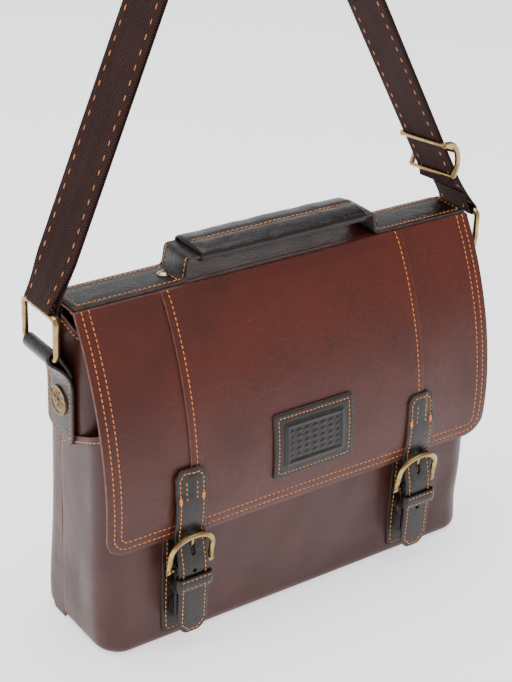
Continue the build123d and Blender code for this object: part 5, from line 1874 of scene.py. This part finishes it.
@dataclass
class ShoulderStrap:
    """Doubled webbing: one length that starts below the slider, goes up, down round the left ring, and back over."""

    finishes: Finishes
    y: float = 8.0
    width: float = 37.0
    ply: float = 1.6
    offset: float = 1.15
    bar_z: float = 283.6
    bar_x: float = 198.5
    loop_radius: float = 3.6
    knee: tuple[float, float] = (173.0, 315.0)
    apex: tuple[float, float] = (-36.3, 678.5)
    apex_radius: float = 32.0
    yaw: float = 14.0
    slider_z: float = 336.0
    slider_half: float = 18.0
    arch: float = 8.0
    rod: float = 1.6

    def _ways(self) -> tuple[Array, Array, Array, Array]:
        """Middle of each bend: left bar, apex, knee and right bar, in (x, z)."""
        return np.array([-self.bar_x, self.bar_z]), np.array(self.apex), np.array(self.knee), np.array([self.bar_x,
            self.bar_z])

    def line(self) -> Curve:
        """Middle line of the webbing (x, z), with its turns round the ring bars and the apex."""
        left, apex, knee, right = self._ways()
        lw, rw, gw = unit(apex - left), unit(knee - apex), unit(right - knee)

        def out(way: Array) -> Array:
            """The way turned a quarter to the left, which is the outer side."""
            return np.array([-way[1], way[0]])

        lo, ro, go = out(lw), out(rw), out(gw)
        half = math.acos(float(lw @ rw)) / 2
        cut = self.apex_radius * math.tan(half)
        mitre = self.offset / math.cos(half)
        peak = unit(lo + ro)
        slider = apex + rw * ((self.slider_z - apex[1]) / rw[1])
        tail = slider + rw * 31.0 - ro * self.offset + np.array([-4.0, 0.0])
        inner = [tail, slider + rw * 22.0 - ro * self.offset, apex - peak * mitre, left + lw * 34 - lo * self.offset,
            left - lo * self.loop_radius + lw * 1.0]
        outer = [left + lo * self.loop_radius + lw * 1.0, left + lw * 34 + lo * self.offset, apex + peak * mitre,
            knee + ro * self.offset, right + go * self.loop_radius - gw * 1.0]

        def turn(centre: Array, start: float, sweep: Array) -> Array:
            """Points on a turn round a ring's bar, from an angle onwards."""
            return centre + self.loop_radius * np.stack([np.cos(start + sweep), np.sin(start + sweep)], -1)

        angle = np.linspace(0, np.pi, 17)
        a0 = math.atan2(-lo[1], -lo[0])
        first = cornered(inner, (7.0, cut * 0.94, 14.0)).points
        around_left = turn(left, a0, angle)
        second = cornered(outer, (14.0, cut * 1.06, 10.0)).points
        b0 = math.atan2(go[1], go[0])
        around_right = turn(right, b0, -angle)
        end = right - gw * 22.0 + go * 0.6
        return Curve(np.concatenate([first, around_left, second, around_right,
            [right - go * self.loop_radius - gw * 2.0, end]]))

    def frame(self, s: Array) -> tuple[Array, Array, Array]:
        """Points, outward side normals and width directions at arc lengths s; the width is yawed above the rings."""
        line = self.line()
        p, d = line.at(s), line.way(s, 1.2)
        psi = math.radians(self.yaw) * smooth((p[..., 1] - 290.0) / 34.0)
        wide = np.stack([-np.sin(psi), np.cos(psi), np.zeros_like(psi)], -1)
        along = np.stack([d[..., 0], np.zeros_like(psi), d[..., 1]], -1)
        n = unit(np.cross(along, wide))
        centre = np.stack([p[..., 0], np.full_like(psi, self.y), p[..., 1]], -1)
        return centre, n, wide

    def webbing(self) -> None:
        """The webbing as one sheet, its ribs taken from its UV map, with a running stitch along both edges."""
        line = self.line()
        s = spaced(0, line.length, 2.6, [(line.length * 0.5, 12, 1.0), (line.length - 16, 16, 0.8)])
        w = spaced(-self.width / 2, self.width / 2, 3.0, [(side * (self.width / 2 - 1), 1.2, 0.6) for side in (-1, 1)])
        c, n, wide = self.frame(s)
        grid = c[:, None] + w[None, :, None] * wide[:, None] + n[:, None] * (self.ply / 2)
        build = Build("shoulder_webbing").slab(grid, self.ply - 0.06, 0.55, slots=(0, 0, 0),
            turn=1 if self._out(grid, n) else -1)
        place(build.finish([self.finishes.webbing]), "strap", Slot.WEBBING, "shoulder_strap")
        seam = Build("shoulder_webbing_stitches")
        run = np.arange(6.0, line.length - 8.0, 1.5)
        c, n, wide = self.frame(run)
        for side in (-1, 1):
            for face in (-1, 1):
                p = c + wide * side * (self.width / 2 - 5.0) + n * face * (self.ply / 2 - 0.05)
                seam.stitches(p, n * face, Stitch(11.0, 5.2, 1.0, 0.4, 3.0))
        place(seam.finish([self.finishes.strap_thread]), "strap", Slot.WEBBING)

    @staticmethod
    def _out(grid: Array, n: Array) -> bool:
        """Whether the grid's own normals agree with the given ones."""
        return float(np.sum(grid_normals(grid)[:, 2] * n)) > 0

    def slider(self) -> None:
        """Slider: two arched side bars, two rods on one face, and the middle bar with its collar on the other."""
        _, apex, knee, _ = self._ways()
        way = unit(knee - apex)
        centre2 = apex + way * ((self.slider_z - apex[1]) / way[1])
        out2 = np.array([-way[1], way[0]])
        psi = math.radians(self.yaw) * float(smooth((self.slider_z - 290.0) / 34.0))
        wide = np.array([-math.sin(psi), math.cos(psi), 0.0])
        along = unit(np.array([-way[0], 0.0, -way[1]]))
        along3 = unit(along - wide * (along @ wide))
        n = unit(np.cross(along3, wide))
        n = n * np.sign(n @ np.array([out2[0], 0.0, out2[1]]))
        centre = np.array([centre2[0], self.y, centre2[1]])
        gap = self.offset + self.ply / 2 + 0.4 + self.rod
        side_at = self.width / 2 + 2.6
        t = np.linspace(-1, 1, 36)
        arch = (gap + self.arch) * (1 - t**2 * (0.55 + 0.45 * t**2)) - gap
        build = Build("slider_frame_bars")
        for sign in (-1, 1):
            path = centre + along3 * (t * self.slider_half)[:, None] + n * arch[:, None] + wide * sign * side_at
            build.rod(path, wide, ellipse(2.4, 1.9, 16, 3.0))
        rods = np.linspace(-side_at - 0.6, side_at + 0.6, 10)
        for sign in (-1, 1):
            build.rod(centre + along3 * sign * self.slider_half - n * gap + wide * rods[:, None], along3,
                ellipse(self.rod, self.rod, 16))
        place(build.finish([self.finishes.brass]), "slider", Slot.BRASS, "slider_frame")
        middle = Build("slider_middle_bar").rod(centre + n * self.arch + wide * rods[:, None], along3,
            ellipse(self.rod, self.rod, 16))
        collar = np.linspace(-3.2, 3.2, 9)
        middle.rod(centre + n * self.arch + wide * collar[:, None], along3, ellipse(2.15, 2.15, 20),
            scale=np.array([0.8, 0.95, 1, 1, 1, 1, 1, 0.95, 0.8]))
        place(middle.finish([self.finishes.brass]), "slider", Slot.BRASS, "slider_bar")

    def build(self) -> None:
        """Makes the webbing and its slider."""
        self.webbing()
        self.slider()


# --------------------------------------------------------------------------------------------------------------------
# Setting
# --------------------------------------------------------------------------------------------------------------------


@dataclass
class Studio:
    """Pale floor with a curved-up backdrop, soft lights and the camera."""

    lens: float = 84.44
    sensor: float = 36.0
    position: tuple[float, float, float] = (-0.67146, -0.91566, 0.79274)
    forward: tuple[float, float, float] = (0.51924, 0.72140, -0.45823)
    roll: float = 2.29

    def floor(self) -> None:
        """One sheet: level, then curving up far behind; its height is a smooth step of the distance."""
        x = np.linspace(-6, 6, 30)
        y = np.linspace(-4, 8, 80)
        gx, gy = np.meshgrid(x, y, indexing="ij")
        gz = 5.0 * smooth((gy - 4.5) / 4.5)
        build = Build("studio_floor").wrapped(np.stack([gx, gy, gz], -1) / MM, False, False)
        n = Nodes("pale_paper")
        tone = n.mix(n.ramp(n.noise(2.0), 0.3, 0.7), (0.80, 0.81, 0.835), (0.82, 0.83, 0.855))
        n.link(tone, n.shader.inputs["Base Color"])
        n.set(Roughness=0.8, Specular_IOR_Level=0.1, Emission_Strength=1.15)
        build.finish([n.material])

    def light(self, name: str, at: tuple[float, float, float], size: tuple[float, float], power: float,
        aim: tuple[float, float, float] = (0, 0, 0.2), colour: Colour = (1, 1, 1)) -> None:
        """One soft rectangular light turned towards a point."""
        data = bpy.data.lights.new(name, "AREA")
        data.shape, data.size, data.size_y, data.energy, data.color = "RECTANGLE", size[0], size[1], power, colour
        obj = bpy.data.objects.new(name, data)
        back = unit(np.array(at) - np.array(aim))
        right = unit(np.cross([0.0, 0.02, 1.0], back))
        up = np.cross(back, right)
        obj.matrix_world = Matrix([[*map(float, r), float(c)] for r,
            c in zip(np.stack([right, up, back], 1), at)] + [[0, 0, 0, 1]])
        bpy.context.scene.collection.objects.link(obj)

    def lights(self) -> None:
        """A bright even room, a wide light overhead and softer ones from the left and the front."""
        world = bpy.data.worlds.new("soft_room")
        world.use_nodes = True
        world.node_tree.nodes["Background"].inputs["Color"].default_value = (0.93, 0.95, 1.0, 1.0)
        world.node_tree.nodes["Background"].inputs["Strength"].default_value = 0.5
        bpy.context.scene.world = world
        self.light("overhead", (0.1, 0.25, 2.3), (2.2, 1.8), 62.0)
        self.light("left_window", (-2.3, 0.2, 1.3), (1.6, 1.8), 20.0)
        self.light("front_fill", (0.6, -2.4, 1.4), (2.2, 1.6), 8.0)

    def camera(self) -> None:
        """Camera by its position, forward direction and roll."""
        forward = unit(np.array(self.forward))
        right = unit(np.cross(forward, [0.0, 0.0, 1.0]))
        up = np.cross(right, forward)
        a = math.radians(self.roll)
        right, up = math.cos(a) * right + math.sin(a) * up, -math.sin(a) * right + math.cos(a) * up
        data = bpy.data.cameras.new("camera")
        data.lens, data.sensor_width, data.sensor_fit = self.lens, self.sensor, "AUTO"
        data.clip_start, data.clip_end = 0.05, 60.0
        obj = bpy.data.objects.new("camera", data)
        rows = np.stack([right, up, -forward], 1)
        obj.matrix_world = Matrix([[*map(float, r), c] for r, c in zip(rows, self.position)] + [[0, 0, 0, 1]])
        bpy.context.scene.collection.objects.link(obj)
        bpy.context.scene.camera = obj

    def build(self) -> None:
        """Makes the setting."""
        self.floor()
        self.lights()
        self.camera()


def dress_kept_nodes(frame: dict, finishes: Finishes) -> None:
    """Gives every CAD node that stays in view, or inside, its finish.

    Args:
        finishes: The bag's materials.
    """
    kept = {"base_board": finishes.board, "rivet_washers": finishes.rivet}
    for name in ("left", "right"):
        kept |= {f"{name}_snap_socket": finishes.steel, f"{name}_snap_stud": finishes.steel}
    for node, material in kept.items():
        mesh = frame["nodes"][node].data
        mesh.materials.clear()
        mesh.materials.append(material)
        LOG.info("%s: kept, %s", node, material.name)


def main() -> None:
    """Builds the bag around the CAD frame, piece by piece."""
    logging.basicConfig(level=logging.INFO, format="%(name)s: %(message)s")
    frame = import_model()
    finishes = Finishes()
    shape = FlapShape()
    body = Body(finishes)
    body.build()
    FlapPanels(shape, finishes).build()
    FlapTop(shape, finishes).build()
    Handle(finishes).build()
    Badge(shape, finishes).build()
    for side, hole, x in ((-1, 73.0, 114.5), (1, 54.0, 109.0)):
        Closure(side, shape, body, finishes, hole, x).build()
        SideTab(side, finishes).build()
    ShoulderStrap(finishes).build()
    dress_kept_nodes(frame, finishes)
    Studio().build()


if __name__ == "__main__":
    main()
